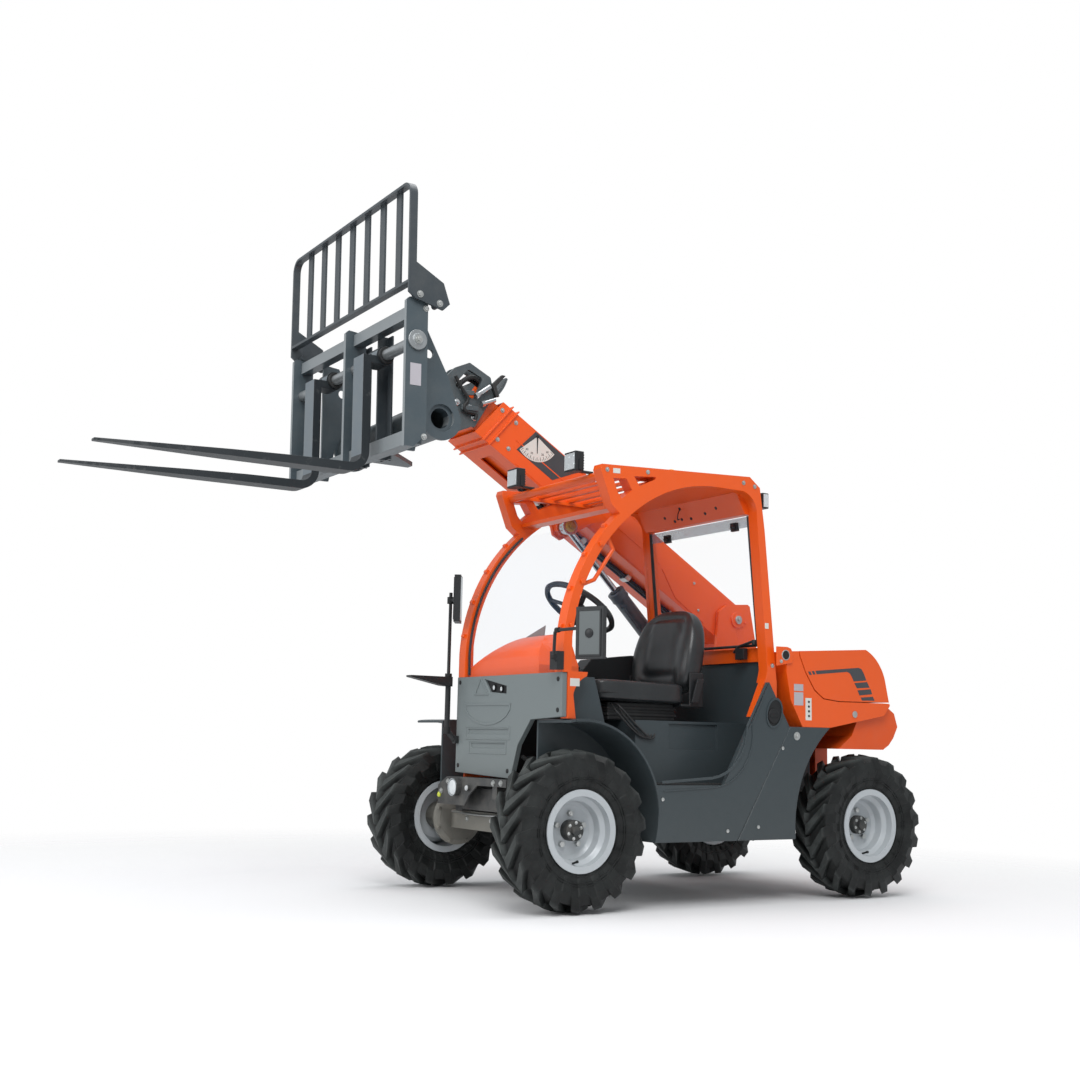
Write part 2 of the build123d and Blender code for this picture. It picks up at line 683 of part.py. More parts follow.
def backrest():
    """Welded frame of flat bars above the carriage, pinned to its end plates."""
    half = CARRIAGE_HALF + 22
    back = FACE_Y + 32
    front = FACE_Y - 2
    ring = rest_outline(half, REST_LOW, REST_TOP, REST_ROUND)
    ring -= rest_outline(half - REST_SIDE, REST_LOW + REST_SIDE, REST_TOP - REST_SIDE, REST_ROUND - REST_SIDE)
    rest = slab_y(ring, front, back)
    step = 2 * half / (BARS + 1)
    for k in range(BARS):
        x = -half + (k + 1) * step
        bar_low, bar_high = REST_LOW + REST_SIDE - 1, REST_TOP - REST_SIDE + 1
        rest += block(x - REST_FLAT / 2, x + REST_FLAT / 2, back - 10, back, bar_low, bar_high)
    lug = poly(
        [
            (front, REST_LOW + 2),
            (back, REST_LOW + 90),
            (FACE_Y + 160, REST_LOW + 20),
            (FACE_Y + 190, 2500),
            (FACE_Y + 160, 2470),
            (FACE_Y + 30, 2500),
            (front, REST_LOW - 40),
        ]
    )
    for x in (-half, half - REST_SIDE):
        rest += slab_x(lug, x, x + REST_SIDE)
    for y, z in ((FACE_Y + 50, 2520), (FACE_Y + 142, 2495)):
        for side in (-1, 1):
            rest += disc_x(side * (CARRIAGE_HALF - PLATE_T - 10), side * (half - 6), y, z, 14)
    return rest


parts["carriage_frame"] = tilted(carriage())
parts["fork_shaft"] = tilted(fork_shaft())
parts["forks"] = Compound([tilted(fork(x)) for x in (-FORK_X, FORK_X)])
parts["load_backrest"] = tilted(backrest())

# ---------------------------------------------------------------- cab frame
# Side plates: the front tube is a large arc, the roof is a flat plate with cut-outs, the rear leg leans back.
ARCH_W = 60.0
ARCH_D = 45.0
ROOF_LOW = 1886.0
SILL_Z = 530.0
PANEL_TOP = 1003.0
LEFT_IN = CAB_LEFT - ARCH_W
RIGHT_IN = CAB_RIGHT + ARCH_W
REAR_BEAM_Y = 222.0
REAR_BEAM_LOW = 1100.0
REAR_BEAM_HIGH = 1166.0


def door_opening():
    """Clear opening of a cab side above the front panel, used for both plates and the side glass."""
    front = CAB_FRONT + ARCH_D
    return outline(
        Line((front, PANEL_TOP - 5), (front, 1150)),
        ThreePointArc((front, 1150), (-765, 1505), (-560, 1728)),
        ThreePointArc((-560, 1728), (-345, 1845), (-95, ROOF_LOW)),
        Line((-95, ROOF_LOW), (40, ROOF_LOW)),
        ThreePointArc((40, ROOF_LOW), (115, 1855), (142, 1780)),
        Line((142, 1780), (205, 1060)),
        Line((205, 1060), (190, PANEL_TOP - 5)),
        Line((190, PANEL_TOP - 5), (front, PANEL_TOP - 5)),
    )


def cab_side(x0):
    skin = outline(
        Line((CAB_FRONT, PANEL_TOP - 4), (CAB_FRONT, 1110)),
        ThreePointArc((CAB_FRONT, 1110), (-850, 1440), (-650, 1705)),
        Line((-650, 1705), (-695, 1740)),
        Line((-695, 1740), (-756, 1893)),
        Line((-756, 1893), (-750, 1914)),
        Line((-750, 1914), (99, 1958)),
        Line((99, 1958), (161, 1912)),
        Line((161, 1912), (190, 1714)),
        Line((190, 1714), (262, PANEL_TOP - 4)),
        Line((262, PANEL_TOP - 4), (CAB_FRONT, PANEL_TOP - 4)),
    )
    plate = slab_x(skin, x0, x0 + ARCH_W)
    plate -= slab_x(door_opening(), x0 - 1, x0 + ARCH_W + 1)
    quad = [(-688, 1858), (-617, 1864), (-585, 1816), (-641, 1772), (-664, 1797)]
    tri = [(-575, 1880), (-455, 1890), (-455, 1880), (-545, 1838)]
    for hole in (quad, tri):
        plate -= slab_x(poly(hole), x0 - 1, x0 + ARCH_W + 1)
    return plate


def cab_left():
    plate = cab_side(LEFT_IN)
    foot = outline(
        Line((-909, PANEL_TOP), (-808, PANEL_TOP)),
        Line((-808, PANEL_TOP), (-812, 985)),
        ThreePointArc((-812, 985), (-860, 950), (-880, 905)),
        Line((-880, 905), (-866, 805)),
        Line((-866, 805), (-909, 805)),
        Line((-909, 805), (-909, PANEL_TOP)),
    )
    plate += slab_x(foot, LEFT_IN + 10, CAB_LEFT)
    leg = poly([(190, PANEL_TOP + 10), (262, PANEL_TOP + 10), (262, 840), (110, 840)])
    plate += slab_x(leg, LEFT_IN + 20, CAB_LEFT)
    plate += block(RIGHT_IN, LEFT_IN + 1, -640, -570, 1742, 1760)
    plate += block(RIGHT_IN, LEFT_IN + 1, REAR_BEAM_Y, REAR_BEAM_Y + 34, REAR_BEAM_LOW, REAR_BEAM_HIGH)
    handle_x = CAB_LEFT - ARCH_W / 2
    plate += bent_rod(
        [(handle_x, -710, 1628), (handle_x, -665, 1545), (handle_x, -762, 1405), (handle_x, -860, 1365)], 9
    )
    return plate


def cab_right():
    plate = cab_side(CAB_RIGHT)
    wall = poly([(CAB_FRONT + 30, SILL_Z), (CAB_FRONT + 30, PANEL_TOP), (255, PANEL_TOP), (255, SILL_Z)])
    return plate + slab_x(wall, CAB_RIGHT + 20, CAB_RIGHT + 32)


def roof():
    """Cross members and slats between the two side plates, with the closed rear box."""
    frame = rod((RIGHT_IN, -700, 1878), (LEFT_IN, -700, 1878), 20)
    frame += block(RIGHT_IN, LEFT_IN, -250, 150, 1890, 1915)
    for x in (RIGHT_IN, LEFT_IN - 14):
        frame += block(x, x + 14, -700, -240, 1878, 1894)
    for k in range(5):
        y = -640 + k * 88
        frame += block(RIGHT_IN, LEFT_IN, y, y + 26, 1893, 1905)
    rear = [(60, 1900), (150, 1900), (160, 1790), (120, 1790)]
    frame += slab_x(poly(rear), RIGHT_IN, LEFT_IN)
    return frame


parts["cab_left_frame"] = cab_left()
parts["cab_right_frame"] = cab_right()
parts["roof_frame"] = roof()

# ---------------------------------------------------------------- glass
GLASS_T = 6.0


def windscreen():
    """Single curved pane that follows the front arcs of the side plates."""
    y0 = CAB_FRONT + 14
    y1 = y0 + GLASS_T
    pane = outline(
        Line((y0, PANEL_TOP), (y0, 1112)),
        ThreePointArc((y0, 1112), (-838, 1434), (-640, 1690)),
        Line((-640, 1690), (-640 + 5, 1690 - 4)),
        ThreePointArc((-640 + 5, 1690 - 4), (-833, 1431), (y1, 1112)),
        Line((y1, 1112), (y1, PANEL_TOP)),
        Line((y1, PANEL_TOP), (y0, PANEL_TOP)),
    )
    return slab_x(pane, RIGHT_IN, LEFT_IN)


def rear_glass():
    low = REAR_BEAM_HIGH + 2
    pane = poly([(150, 1789), (156, 1789), (217, low), (211, low)])
    return slab_x(pane, RIGHT_IN, LEFT_IN)


def side_glass():
    pane = slab_x(door_opening(), CAB_RIGHT + 22, CAB_RIGHT + 22 + GLASS_T)
    return pane - block(CAB_RIGHT, CAB_RIGHT + 60, CAB_FRONT, 300, PANEL_TOP - 10, PANEL_TOP)


parts["cab_glass"] = Compound([windscreen(), side_glass(), rear_glass()])

# ---------------------------------------------------------------- front panel, fenders and side panels
FENDER_R = 393.0
FENDER_Z = 400.0
FENDER_T = 12.0
FENDER_IN = 425.0
SKIRT_LOW = 286.0
SKIRT_T = 25.0
ARC_Y = 940.0
ARC_Z = 335.0
ARC_R = 590.0
HOOD_SEAT = 800.0


def front_panel():
    """Light grey front wall of the cab with its two long slots and lamp recess."""
    face = [
        (-242, PANEL_TOP - 4),
        (CAB_LEFT - 5, PANEL_TOP - 4),
        (CAB_LEFT - 5, 812),
        (412, 800),
        (309, 690),
        (254, 541),
        (-242, 557),
    ]
    panel = slab_y(poly(face), CAB_FRONT, CAB_FRONT + 26)
    for x0, x1, z in ((-130, 229, 735), (-98, 198, 672)):
        panel -= block(x0, x1, CAB_FRONT - 1, CAB_FRONT + 6, z, z + 22)
    recess = poly([(10, 985), (205, 950), (205, 915), (60, 925)])
    panel -= slab_y(recess, CAB_FRONT - 1, CAB_FRONT + 12)
    return panel


def fender(side):
    """Wheel arch over a front wheel: rolled strip closed on its inner side."""
    rim_edge = FENDER_R + FENDER_T
    ring = Plane.YZ * (Pos(FRONT_Y, FENDER_Z) * (Circle(rim_edge) - Circle(FENDER_R)))
    strip = extrude(ring, amount=BODY_HALF - FENDER_IN)
    strip = Pos(FENDER_IN, 0, 0) * strip
    disc = Plane.YZ * (Pos(FRONT_Y, FENDER_Z) * Circle(rim_edge))
    disc = Pos(FENDER_IN, 0, 0) * extrude(disc, amount=FENDER_T)
    arch = strip + disc
    arch -= block(0, BODY_HALF + 1, FRONT_Y - 500, CAB_FRONT + 26, 0, 1000)
    arch -= block(0, BODY_HALF + 1, FRONT_Y - 500, FRONT_Y + 500, -50, SKIRT_LOW)
    arch -= block(0, FENDER_IN + FENDER_T + 1, FRONT_Y - 130, FRONT_Y + 130, 0, AXLE_Z + 150)
    return arch if side > 0 else mirror_x(arch)


def side_skirt(top_rear):
    """Side panel between the wheels, with the door sill and the seam to the rear panel."""
    dz = SKIRT_LOW - FENDER_Z
    start = (FRONT_Y + math.sqrt((FENDER_R + 2) ** 2 - dz**2), SKIRT_LOW)
    end = (FRONT_Y + math.sqrt((FENDER_R + 2) ** 2 - (SILL_Z - FENDER_Z) ** 2), SILL_Z)
    middle = (FRONT_Y + FENDER_R + 2, FENDER_Z)
    return outline(
        ThreePointArc(start, middle, end),
        Line(end, (-81, SILL_Z)),
        Line((-81, SILL_Z), *[top_rear[0]]),
        Line(top_rear[0], top_rear[1]),
        Line(top_rear[1], (23, 329)),
        Line((23, 329), (-5, SKIRT_LOW)),
        Line((-5, SKIRT_LOW), start),
    )


def rear_side():
    low_y = ARC_Y - math.sqrt(ARC_R**2 - (SKIRT_LOW - ARC_Z) ** 2)
    top_z = HOOD_SEAT - RUN_GAP
    top_y = ARC_Y - math.sqrt(ARC_R**2 - (top_z - ARC_Z) ** 2)
    middle = (ARC_Y - ARC_R * 0.9, ARC_Z + ARC_R * math.sqrt(0.19))
    return outline(
        Line((0, SKIRT_LOW), (28, 329)),
        Line((28, 329), (318, top_z)),
        Line((318, top_z), (top_y, top_z)),
        ThreePointArc((top_y, top_z), middle, (low_y, SKIRT_LOW)),
        Line((low_y, SKIRT_LOW), (0, SKIRT_LOW)),
    )


def body_left():
    skin = slab_x(side_skirt(((190, 1000), (315, 796))), BODY_HALF - SKIRT_T, BODY_HALF)
    upright = poly([(-880, 795), (-884, 985), (-735, 985), (-718, 930), (-674, 780)])
    return skin + fender(1) + slab_x(upright, LEFT_IN - 20, LEFT_IN + 6)


def body_right():
    tank_left = -RAIL_X - RAIL_W / 2
    low_y = FRONT_Y + math.sqrt((FENDER_R + 2) ** 2 - (SKIRT_LOW - FENDER_Z) ** 2)
    tank = outline(
        ThreePointArc(
            (low_y, SKIRT_LOW),
            (FRONT_Y + FENDER_R + 2, FENDER_Z),
            (FRONT_Y + math.sqrt((FENDER_R + 2) ** 2 - 260**2), FENDER_Z + 260),
        ),
        Line((FRONT_Y + math.sqrt((FENDER_R + 2) ** 2 - 260**2), FENDER_Z + 260), (-440, 790)),
        Line((-440, 790), (300, 790)),
        Line((300, 790), (345, 640)),
        Line((345, 640), (345, SKIRT_LOW)),
        Line((345, SKIRT_LOW), (low_y, SKIRT_LOW)),
    )
    return slab_x(tank, -BODY_HALF, tank_left) + fender(-1)


parts["front_panel"] = front_panel()
parts["body_left"] = body_left()
parts["body_right"] = body_right()
parts["rear_side_left"] = slab_x(rear_side(), BODY_HALF - SKIRT_T, BODY_HALF)

# ---------------------------------------------------------------- floor, seat box and engine
FLOOR_T = 16.0
SEAT_BOX_TOP = 812.0


def cab_floor():
    floor = block(RIGHT_IN - 20, FENDER_IN, CAB_FRONT + 26, 250, SILL_Z - FLOOR_T, SILL_Z)
    floor += block(FENDER_IN - 10, BODY_HALF - SKIRT_T, -436, 250, SILL_Z - FLOOR_T, SILL_Z)
    floor += block(-60, 480, -420, 250, SILL_Z - 2, SEAT_BOX_TOP)
    floor += block(RIGHT_IN, LEFT_IN, 236, 250, SILL_Z - 2, REAR_BEAM_LOW - RUN_GAP)
    floor -= block(470, 481, -230, 54, 684, 800)
    for x in (-RAIL_X, RAIL_X):
        floor += block(x - 25, x + 25, -400, 200, RAIL_HIGH, SILL_Z - FLOOR_T + 1)
    return floor


parts["cab_floor"] = cab_floor()
parts["engine_block"] = block(-150, 250, 440, 860, RAIL_HIGH, 1040)

# ---------------------------------------------------------------- rear hood and counterweight
HOOD_LEFT = BODY_HALF - 4.0
HOOD_RIGHT = -225.0
HOOD_T = 14.0
HINGE_Y = 992.0
HINGE_Z = 934.0
HINGE_PIN_R = 7.0
HINGE_XS = (-60.0, 480.0)
TOW_Y = 1110.0
TOW_LOW = 400.0
TOW_HIGH = 550.0
TOW_EAR = 45.0
TOW_HALF = 60.0
TOW_PIN_R = 16.0
# Parting line between the lid and the fixed valance, from its front top to its rear end.
SEAM = ((385, 1138), (422, 1059), (479, 977), (537, 938), (641, 928), (938, 931), (973, 932))
SEAM_GAP = 5.0
WEIGHT_HALF = BODY_HALF - 35.0


def hood():
    """Rear lid: top, sides and rear in one shell, open to the front and below, with its hinge straps."""
    rear = [
        Line((385, 1154.5), (819, 1183)),
        ThreePointArc((819, 1183), (905, 1120), (947, 1042)),
        Line((947, 1042), SEAM[-1]),
    ]
    seam = [Line(a, b) for a, b in zip(SEAM[::-1], SEAM[-2::-1])]
    lid = slab_x(outline(*rear, *seam, Line(SEAM[0], (385, 1154.5))), HOOD_RIGHT, HOOD_LEFT)
    room = outline(
        Line((300, 1149 - HOOD_T), (819, 1183 - HOOD_T)),
        ThreePointArc((819, 1183 - HOOD_T), (905 - HOOD_T, 1120), (947 - HOOD_T, 1042)),
        Line((947 - HOOD_T, 1042), (973 - HOOD_T, 900)),
        Line((973 - HOOD_T, 900), (300, 900)),
        Line((300, 900), (300, 1149 - HOOD_T)),
    )
    lid -= slab_x(room, HOOD_RIGHT + HOOD_T, HOOD_LEFT - HOOD_T)
    for x in HINGE_XS:
        strap = [
            (945, HINGE_Z + 2),
            (975, HINGE_Z - 2),
            (HINGE_Y, HINGE_Z - 14),
            (HINGE_Y, HINGE_Z + 14),
            (945, HINGE_Z + 26),
        ]
        lid += slab_x(poly(strap), x - 25, x + 25) + disc_x(x - 25, x + 25, HINGE_Y, HINGE_Z, 14)
        lid -= disc_x(x - 26, x + 26, HINGE_Y, HINGE_Z, HINGE_PIN_R + 0.1)
    return lid


def rear_valance():
    """Fixed lower part of the rear body: two sides and a front wall below the lid."""
    top = [(385 - SEAM_GAP, 1154)] + [(y - SEAM_GAP * 0.8, z - SEAM_GAP * 0.8) for y, z in SEAM[:-1]]
    bottom = [(976, 926), (980, 916), (937, 866), (577, HOOD_SEAT), (400, HOOD_SEAT)]
    sides = top + bottom + [(326, 923), (301, 1053), (301, 1149)]
    shell = slab_x(poly(sides), HOOD_RIGHT, HOOD_LEFT)
    room = [
        (301 + HOOD_T, 1149 - HOOD_T),
        (301 + HOOD_T, 1053),
        (326 + HOOD_T, 925),
        (400 + HOOD_T, HOOD_SEAT + 2),
        (400 + HOOD_T, HOOD_SEAT - 10),
        (990, HOOD_SEAT - 10),
        (990, 1149 - HOOD_T),
    ]
    return shell - slab_x(poly(room), HOOD_RIGHT + HOOD_T, HOOD_LEFT - HOOD_T)


def counterweight():
    """Cast rear bumper with its masses over the rear wheels and between them, and the tow jaw."""
    bar = [
        (970, 712),
        (1000, 725),
        (1032, 760),
        (1062, 815),
        (1040, 880),
        (1000, 905),
        (984, 905),
        (984, 862),
        (970, 858),
    ]
    weight = slab_x(poly(bar), -WEIGHT_HALF, WEIGHT_HALF)
    over_wheel = [(660, 702), (960, 702), (1000, 725), (990, 900), (960, 905), (800, 868), (748, 765)]
    weight += slab_x(poly(over_wheel), 265, WEIGHT_HALF)
    below_deck = [(660, 702), (960, 702), (975, 714), (975, 758), (748, 758)]
    weight += slab_x(poly(below_deck), -WEIGHT_HALF, PEDESTAL_X - 10)
    weight += block(-240, 240, FRAME_REAR, 990, TOW_LOW, 740)
    weight += block(-170, 240, FRAME_REAR, 980, 700, 852)
    jaw = block(-TOW_HALF, TOW_HALF, 985, TOW_Y, TOW_LOW, TOW_HIGH)
    jaw += rod((0, TOW_Y, TOW_LOW), (0, TOW_Y, TOW_HIGH), TOW_HALF)
    jaw -= block(-TOW_HALF - 1, TOW_HALF + 1, 1020, TOW_Y + 70, TOW_LOW + TOW_EAR, TOW_HIGH - TOW_EAR)
    jaw -= rod((0, TOW_Y, TOW_LOW - 1), (0, TOW_Y, TOW_HIGH + 1), TOW_PIN_R)
    weight += jaw
    for x in HINGE_XS:
        for ear_x in (x - 40, x + 26):
            weight += block(ear_x, ear_x + 14, HINGE_Y - 8, HINGE_Y + 11, 895, HINGE_Z)
            weight += disc_x(ear_x, ear_x + 14, HINGE_Y, HINGE_Z, 12)
        weight += disc_x(x - 30, x + 30, HINGE_Y, HINGE_Z, HINGE_PIN_R)
    return weight


parts["hood"] = hood()
parts["rear_valance"] = rear_valance()
parts["counterweight"] = counterweight()

# ---------------------------------------------------------------- seat and controls
SEAT_X = 205.0
SEAT_W = 480.0


def seat_cushion():
    face = poly([(-600, 905), (-590, 985), (-95, 970), (-85, 893), (-560, 893)])
    return slab_x(face, SEAT_X - SEAT_W / 2, SEAT_X + SEAT_W / 2)


def seat_back():
    face = poly([(-90, 975), (-30, 1330), (0, 1345), (45, 1330), (30, 960), (-82, 940)])
    return slab_x(face, SEAT_X - SEAT_W / 2 + 10, SEAT_X + SEAT_W / 2 - 10)


def seat_base():
    base = block(SEAT_X - 170, SEAT_X + 170, -500, -120, SEAT_BOX_TOP, 892.5)
    bracket_x = SEAT_W / 2 - 9.7
    base += block(SEAT_X - bracket_x - 8, SEAT_X + bracket_x + 8, -130, -40, 880, 892.5)
    for x in (SEAT_X - bracket_x - 8, SEAT_X + bracket_x):
        base += block(x, x + 8, -80, 0, 880, 1040)
    console_x = SEAT_X - SEAT_W / 2 - 14
    console = poly([(-330, 1000), (-345, 1060), (-300, 1110), (-60, 1140), (20, 1140), (20, 1000)])
    base += slab_x(console, console_x - 100, console_x)
    base += block(console_x - 60, console_x - 30, -200, -110, SEAT_BOX_TOP, 1001)
    base += block(console_x - 55, SEAT_X - 160, -190, -120, 840, 868)
    return base


WHEEL_C = (SEAT_X, -548.0, 1328.0)
WHEEL_TILT = 35.0
WHEEL_R = 172.0
WHEEL_BAR = 14.0
COLUMN_R = 26.0
COLUMN_LEN = 330.0


def column_post(radius):
    """Steering column from the wheel's boss into the scuttle."""
    lean = math.radians(WHEEL_TILT)
    x, y, z = WHEEL_C
    top = (x, y - 20 * math.sin(lean), z - 20 * math.cos(lean))
    foot = (x, y - COLUMN_LEN * math.sin(lean), z - COLUMN_LEN * math.cos(lean))
    return rod(top, foot, radius)


def steering_wheel():
    """Wheel with a six-sided grip, three spokes and its column in one piece."""
    lean = math.radians(WHEEL_TILT)
    plane = Plane(origin=WHEEL_C, x_dir=(1, 0, 0), z_dir=(0, math.sin(lean), math.cos(lean)))
    grip = [
        (WHEEL_R + WHEEL_BAR * math.cos(math.radians(60 * k)), WHEEL_BAR * math.sin(math.radians(60 * k)))
        for k in range(6)
    ]
    ring = revolve(Plane.XZ * poly(grip), Axis.Z)
    hub = Pos(0, 0, -14) * Cylinder(34, 40)
    for k in range(3):
        ring += Rot(0, 0, 90 + 120 * k) * (Pos(WHEEL_R / 2, 0, -6) * Box(WHEEL_R, 24, 8))
    return plane * (ring + hub) + column_post(COLUMN_R)


def hump(inset):
    """Scuttle as the meeting of its side view with its front view, which is higher towards the left."""
    y0 = CAB_FRONT + 26 + inset
    z0 = 985.0 - (inset > 0)
    side_view = outline(
        Line((y0, z0), (y0, 1030)),
        ThreePointArc((y0, 1030), (-850 + inset * 0.6, 1145 - inset), (-740, 1186 - inset)),
        Line((-740, 1186 - inset), (-700 - inset, 1170 - inset)),
        Line((-700 - inset, 1170 - inset), (-700 - inset, z0)),
        Line((-700 - inset, z0), (y0, z0)),
    )
    front_view = [
        (RIGHT_IN + inset, z0),
        (RIGHT_IN + inset, 1040 - inset),
        (-30, 1112 - inset),
        (110, 1178 - inset),
        (300, 1186 - inset),
        (380, 1130 - inset),
        (430 - inset, 1040 - inset),
        (430 - inset, z0),
    ]
    return slab_x(side_view, RIGHT_IN, 430) & slab_y(poly(front_view), CAB_FRONT, -690)


def dash():
    """Scuttle cover behind the windscreen, open below, with a hole for the steering column."""
    return hump(0) - hump(12) - column_post(COLUMN_R + RUN_GAP)


parts["seat_cushion"] = seat_cushion()
parts["seat_back"] = seat_back()
parts["seat_base"] = seat_base()
parts["steering_wheel"] = steering_wheel()
parts["dash_cover"] = dash()

# ---------------------------------------------------------------- lamps, mirrors and grab handle


def work_lamps():
    lamps = []
    for x in (500.0, 10.0):
        head = block(x - 46, x + 46, -812, -768, 1895, 1985)
        head += block(x - 10, x + 10, -770, -690, 1898, 1908)
        lamps.append(head)
    rear = block(570, 630, 205, 243, 1826, 1900) + block(590, 610, 170.4, 206, 1850, 1870)
    return Compound(lamps + [rear])


def mirrors():
    """Left mirror on its clamp and bent arm; right mirror on a pole with a bracket that points forward."""
    plane_y = CAB_FRONT - 50
    left = block(LEFT_IN + 12, LEFT_IN + 66, CAB_FRONT - 36, CAB_FRONT, 1008, 1085)
    left += bent_rod(
        [
            (655, CAB_FRONT - 28, 1040),
            (664, plane_y, 1060),
            (669, plane_y, 1160),
            (690, plane_y, 1170),
            (925, plane_y, 1168),
        ],
        7,
    )
    left += Pos(935, plane_y, 1145) * (Rot(0, 0, 23) * Box(130, 26, 212))
    right = block(CAB_RIGHT - 7, CAB_RIGHT + 20, CAB_FRONT - 20, CAB_FRONT, 690, 725)
    pole_x = CAB_RIGHT - 8
    right += bent_rod([(CAB_RIGHT, CAB_FRONT - 15, 706), (pole_x, plane_y, 750), (pole_x, plane_y, 1000)], 13)
    right += rod((pole_x, plane_y, 999), (pole_x, plane_y, 1400), 8)
    guard = [(-210, 1000), (10, 1000), (10, 955), (-40, 958), (-210, 992)]
    right += slab_x(poly([(plane_y + y, z) for y, z in guard]), pole_x - 25, pole_x + 25)
    right += rod((pole_x, plane_y, 1363), (-165, plane_y - 4, 1363), 9)
    right += Pos(-165, plane_y - 4, 1363) * (Rot(0, 0, -33) * Box(130, 30, 220))
    return Compound([left, right])


def bumper():
    """Open bracket under the front panel, held by the rail ends, with one round headlamp."""
    front = CAB_FRONT - 55
    face = [(-303, 411), (-303, 497), (-218, 538), (311, 538), (311, 505), (60, 505), (-10, 460), (-49, 411)]
    bracket = slab_y(poly(face), front, front + 8)
    bracket += block(-218, 311, front + 7, FRAME_FRONT, 530, 538)
    for x in (-RAIL_X, RAIL_X):
        bracket += block(x - 20, x + 20, front + 7, FRAME_FRONT, 450, 531)
    for x, radius, nose in ((-120.0, 40.0, 24.0), (-9.0, 14.0, 14.0)):
        bracket += rod((x, front - nose, 492), (x, front + 1, 492), radius)
    return bracket


def beacon():
    return rod((65, 95, 1915), (65, 95, 2000), 38) + rod((65, 95, 1999), (65, 95, 2090), 32)


parts["work_lamps"] = work_lamps()
parts["mirrors"] = mirrors()
parts["beacon"] = beacon()
parts["front_bumper"] = bumper()

# ---------------------------------------------------------------- files
box = Compound([shape for shape in parts.values()]).bounding_box()
SHIFT_X = -(box.min.X + box.max.X) / 2
SHIFT_Y = -(box.min.Y + box.max.Y) / 2
os.makedirs("parts", exist_ok=True)
for name, shape in parts.items():
    export_step(Pos(SHIFT_X, SHIFT_Y, 0) * shape, "parts/" + name + ".step")
print("shift", SHIFT_X, SHIFT_Y, box.min.Z)
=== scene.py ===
"""Finish of a compact telehandler: materials, edges and small parts on top of the CAD frame.

Lengths are metres. Points of the machine are measured from the ground below the middle of the wheelbase
(+X to its left, +Y to its rear, +Z up) and moved into the row frame by HOME, so that every size reads as on
the machine itself."""

import math

import bmesh
import bpy
from mathutils import Matrix, Vector


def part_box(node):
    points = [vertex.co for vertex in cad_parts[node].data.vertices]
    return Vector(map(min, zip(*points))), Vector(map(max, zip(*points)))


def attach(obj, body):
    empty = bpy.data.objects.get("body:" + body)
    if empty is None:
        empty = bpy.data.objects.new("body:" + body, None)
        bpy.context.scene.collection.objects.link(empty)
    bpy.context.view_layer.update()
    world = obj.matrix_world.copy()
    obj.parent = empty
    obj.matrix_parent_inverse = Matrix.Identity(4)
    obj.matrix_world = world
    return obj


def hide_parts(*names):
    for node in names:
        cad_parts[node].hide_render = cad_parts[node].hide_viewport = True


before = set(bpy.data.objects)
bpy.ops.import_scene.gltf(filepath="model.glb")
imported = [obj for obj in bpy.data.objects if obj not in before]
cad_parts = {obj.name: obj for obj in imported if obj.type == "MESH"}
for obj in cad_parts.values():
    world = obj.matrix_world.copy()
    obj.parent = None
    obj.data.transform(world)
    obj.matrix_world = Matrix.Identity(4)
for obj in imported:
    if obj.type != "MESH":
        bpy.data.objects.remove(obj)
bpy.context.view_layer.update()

# ------------------------------------------------------------------ tyres
# Four lugged tyres of moulded rubber, black on the lugs and greyer with dust on the side walls, each with the
# moulded ribs of its bead and shoulder. The lugs' outer faces carry a painted highlight, lighter than the carcass.
# They are pressed on to the rims. The middle of the four is HOME.


def middle(node):
    low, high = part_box(node)
    return (low + high) / 2


CORNERS = ("front_left", "front_right", "rear_left", "rear_right")
HOME = sum((middle("tyre_" + corner) for corner in CORNERS), Vector()) / 4
HOME.z = 0.0
WHEEL_X, WHEEL_Y, WHEEL_Z = 0.584, 0.84, 0.34


def srgb(red, green, blue):
    """A colour written as 0 to 255, as the linear values that the shader takes."""
    return tuple(((c / 255 + 0.055) / 1.055) ** 2.4 if c > 10 else c / 3295 for c in (red, green, blue)) + (1.0,)


def shade(tone, share, other=(0.0, 0.0, 0.0, 1.0)):
    """The colour with a share of another mixed in."""
    return tuple((1 - share) * a + share * b for a, b in zip(tone[:3], other[:3])) + (1.0,)


class Wire:
    """An output of a node; sums and products of wires become Math nodes."""

    def __init__(self, nodes, socket):
        self.nodes = nodes
        self.socket = socket

    def math(self, operation, first, second):
        return self.nodes.add("ShaderNodeMath", {"operation": operation}, {0: first, 1: second})

    def __add__(self, other):
        return self.math("ADD", self, other)

    def __radd__(self, other):
        return self.math("ADD", other, self)

    def __sub__(self, other):
        return self.math("SUBTRACT", self, other)

    def __rsub__(self, other):
        return self.math("SUBTRACT", other, self)

    def __mul__(self, other):
        return self.math("MULTIPLY", self, other)

    def __rmul__(self, other):
        return self.math("MULTIPLY", other, self)


class Nodes:
    """The node tree of a material or of the world."""

    def __init__(self, tree):
        self.tree = tree

    def add(self, kind, settings=None, inputs=None, output=0):
        """A node of any kind: its settings are set first, then its sockets are filled or linked."""
        node = self.tree.nodes.new(kind)
        for key, value in (settings or {}).items():
            if key == "stops":
                ramp = node.color_ramp.elements
                for _ in range(len(value) - 2):
                    ramp.new(0.5)
                for element, (where, tone) in zip(ramp, value):
                    element.position = where
                    element.color = (tone, tone, tone, 1.0)
            else:
                setattr(node, key, value)
        for key, value in (inputs or {}).items():
            self.join(node.inputs[key], value)
        return Wire(self, node.outputs[output])

    def join(self, target, value):
        if isinstance(value, Wire):
            self.tree.links.new(value.socket, target)
        else:
            target.default_value = value


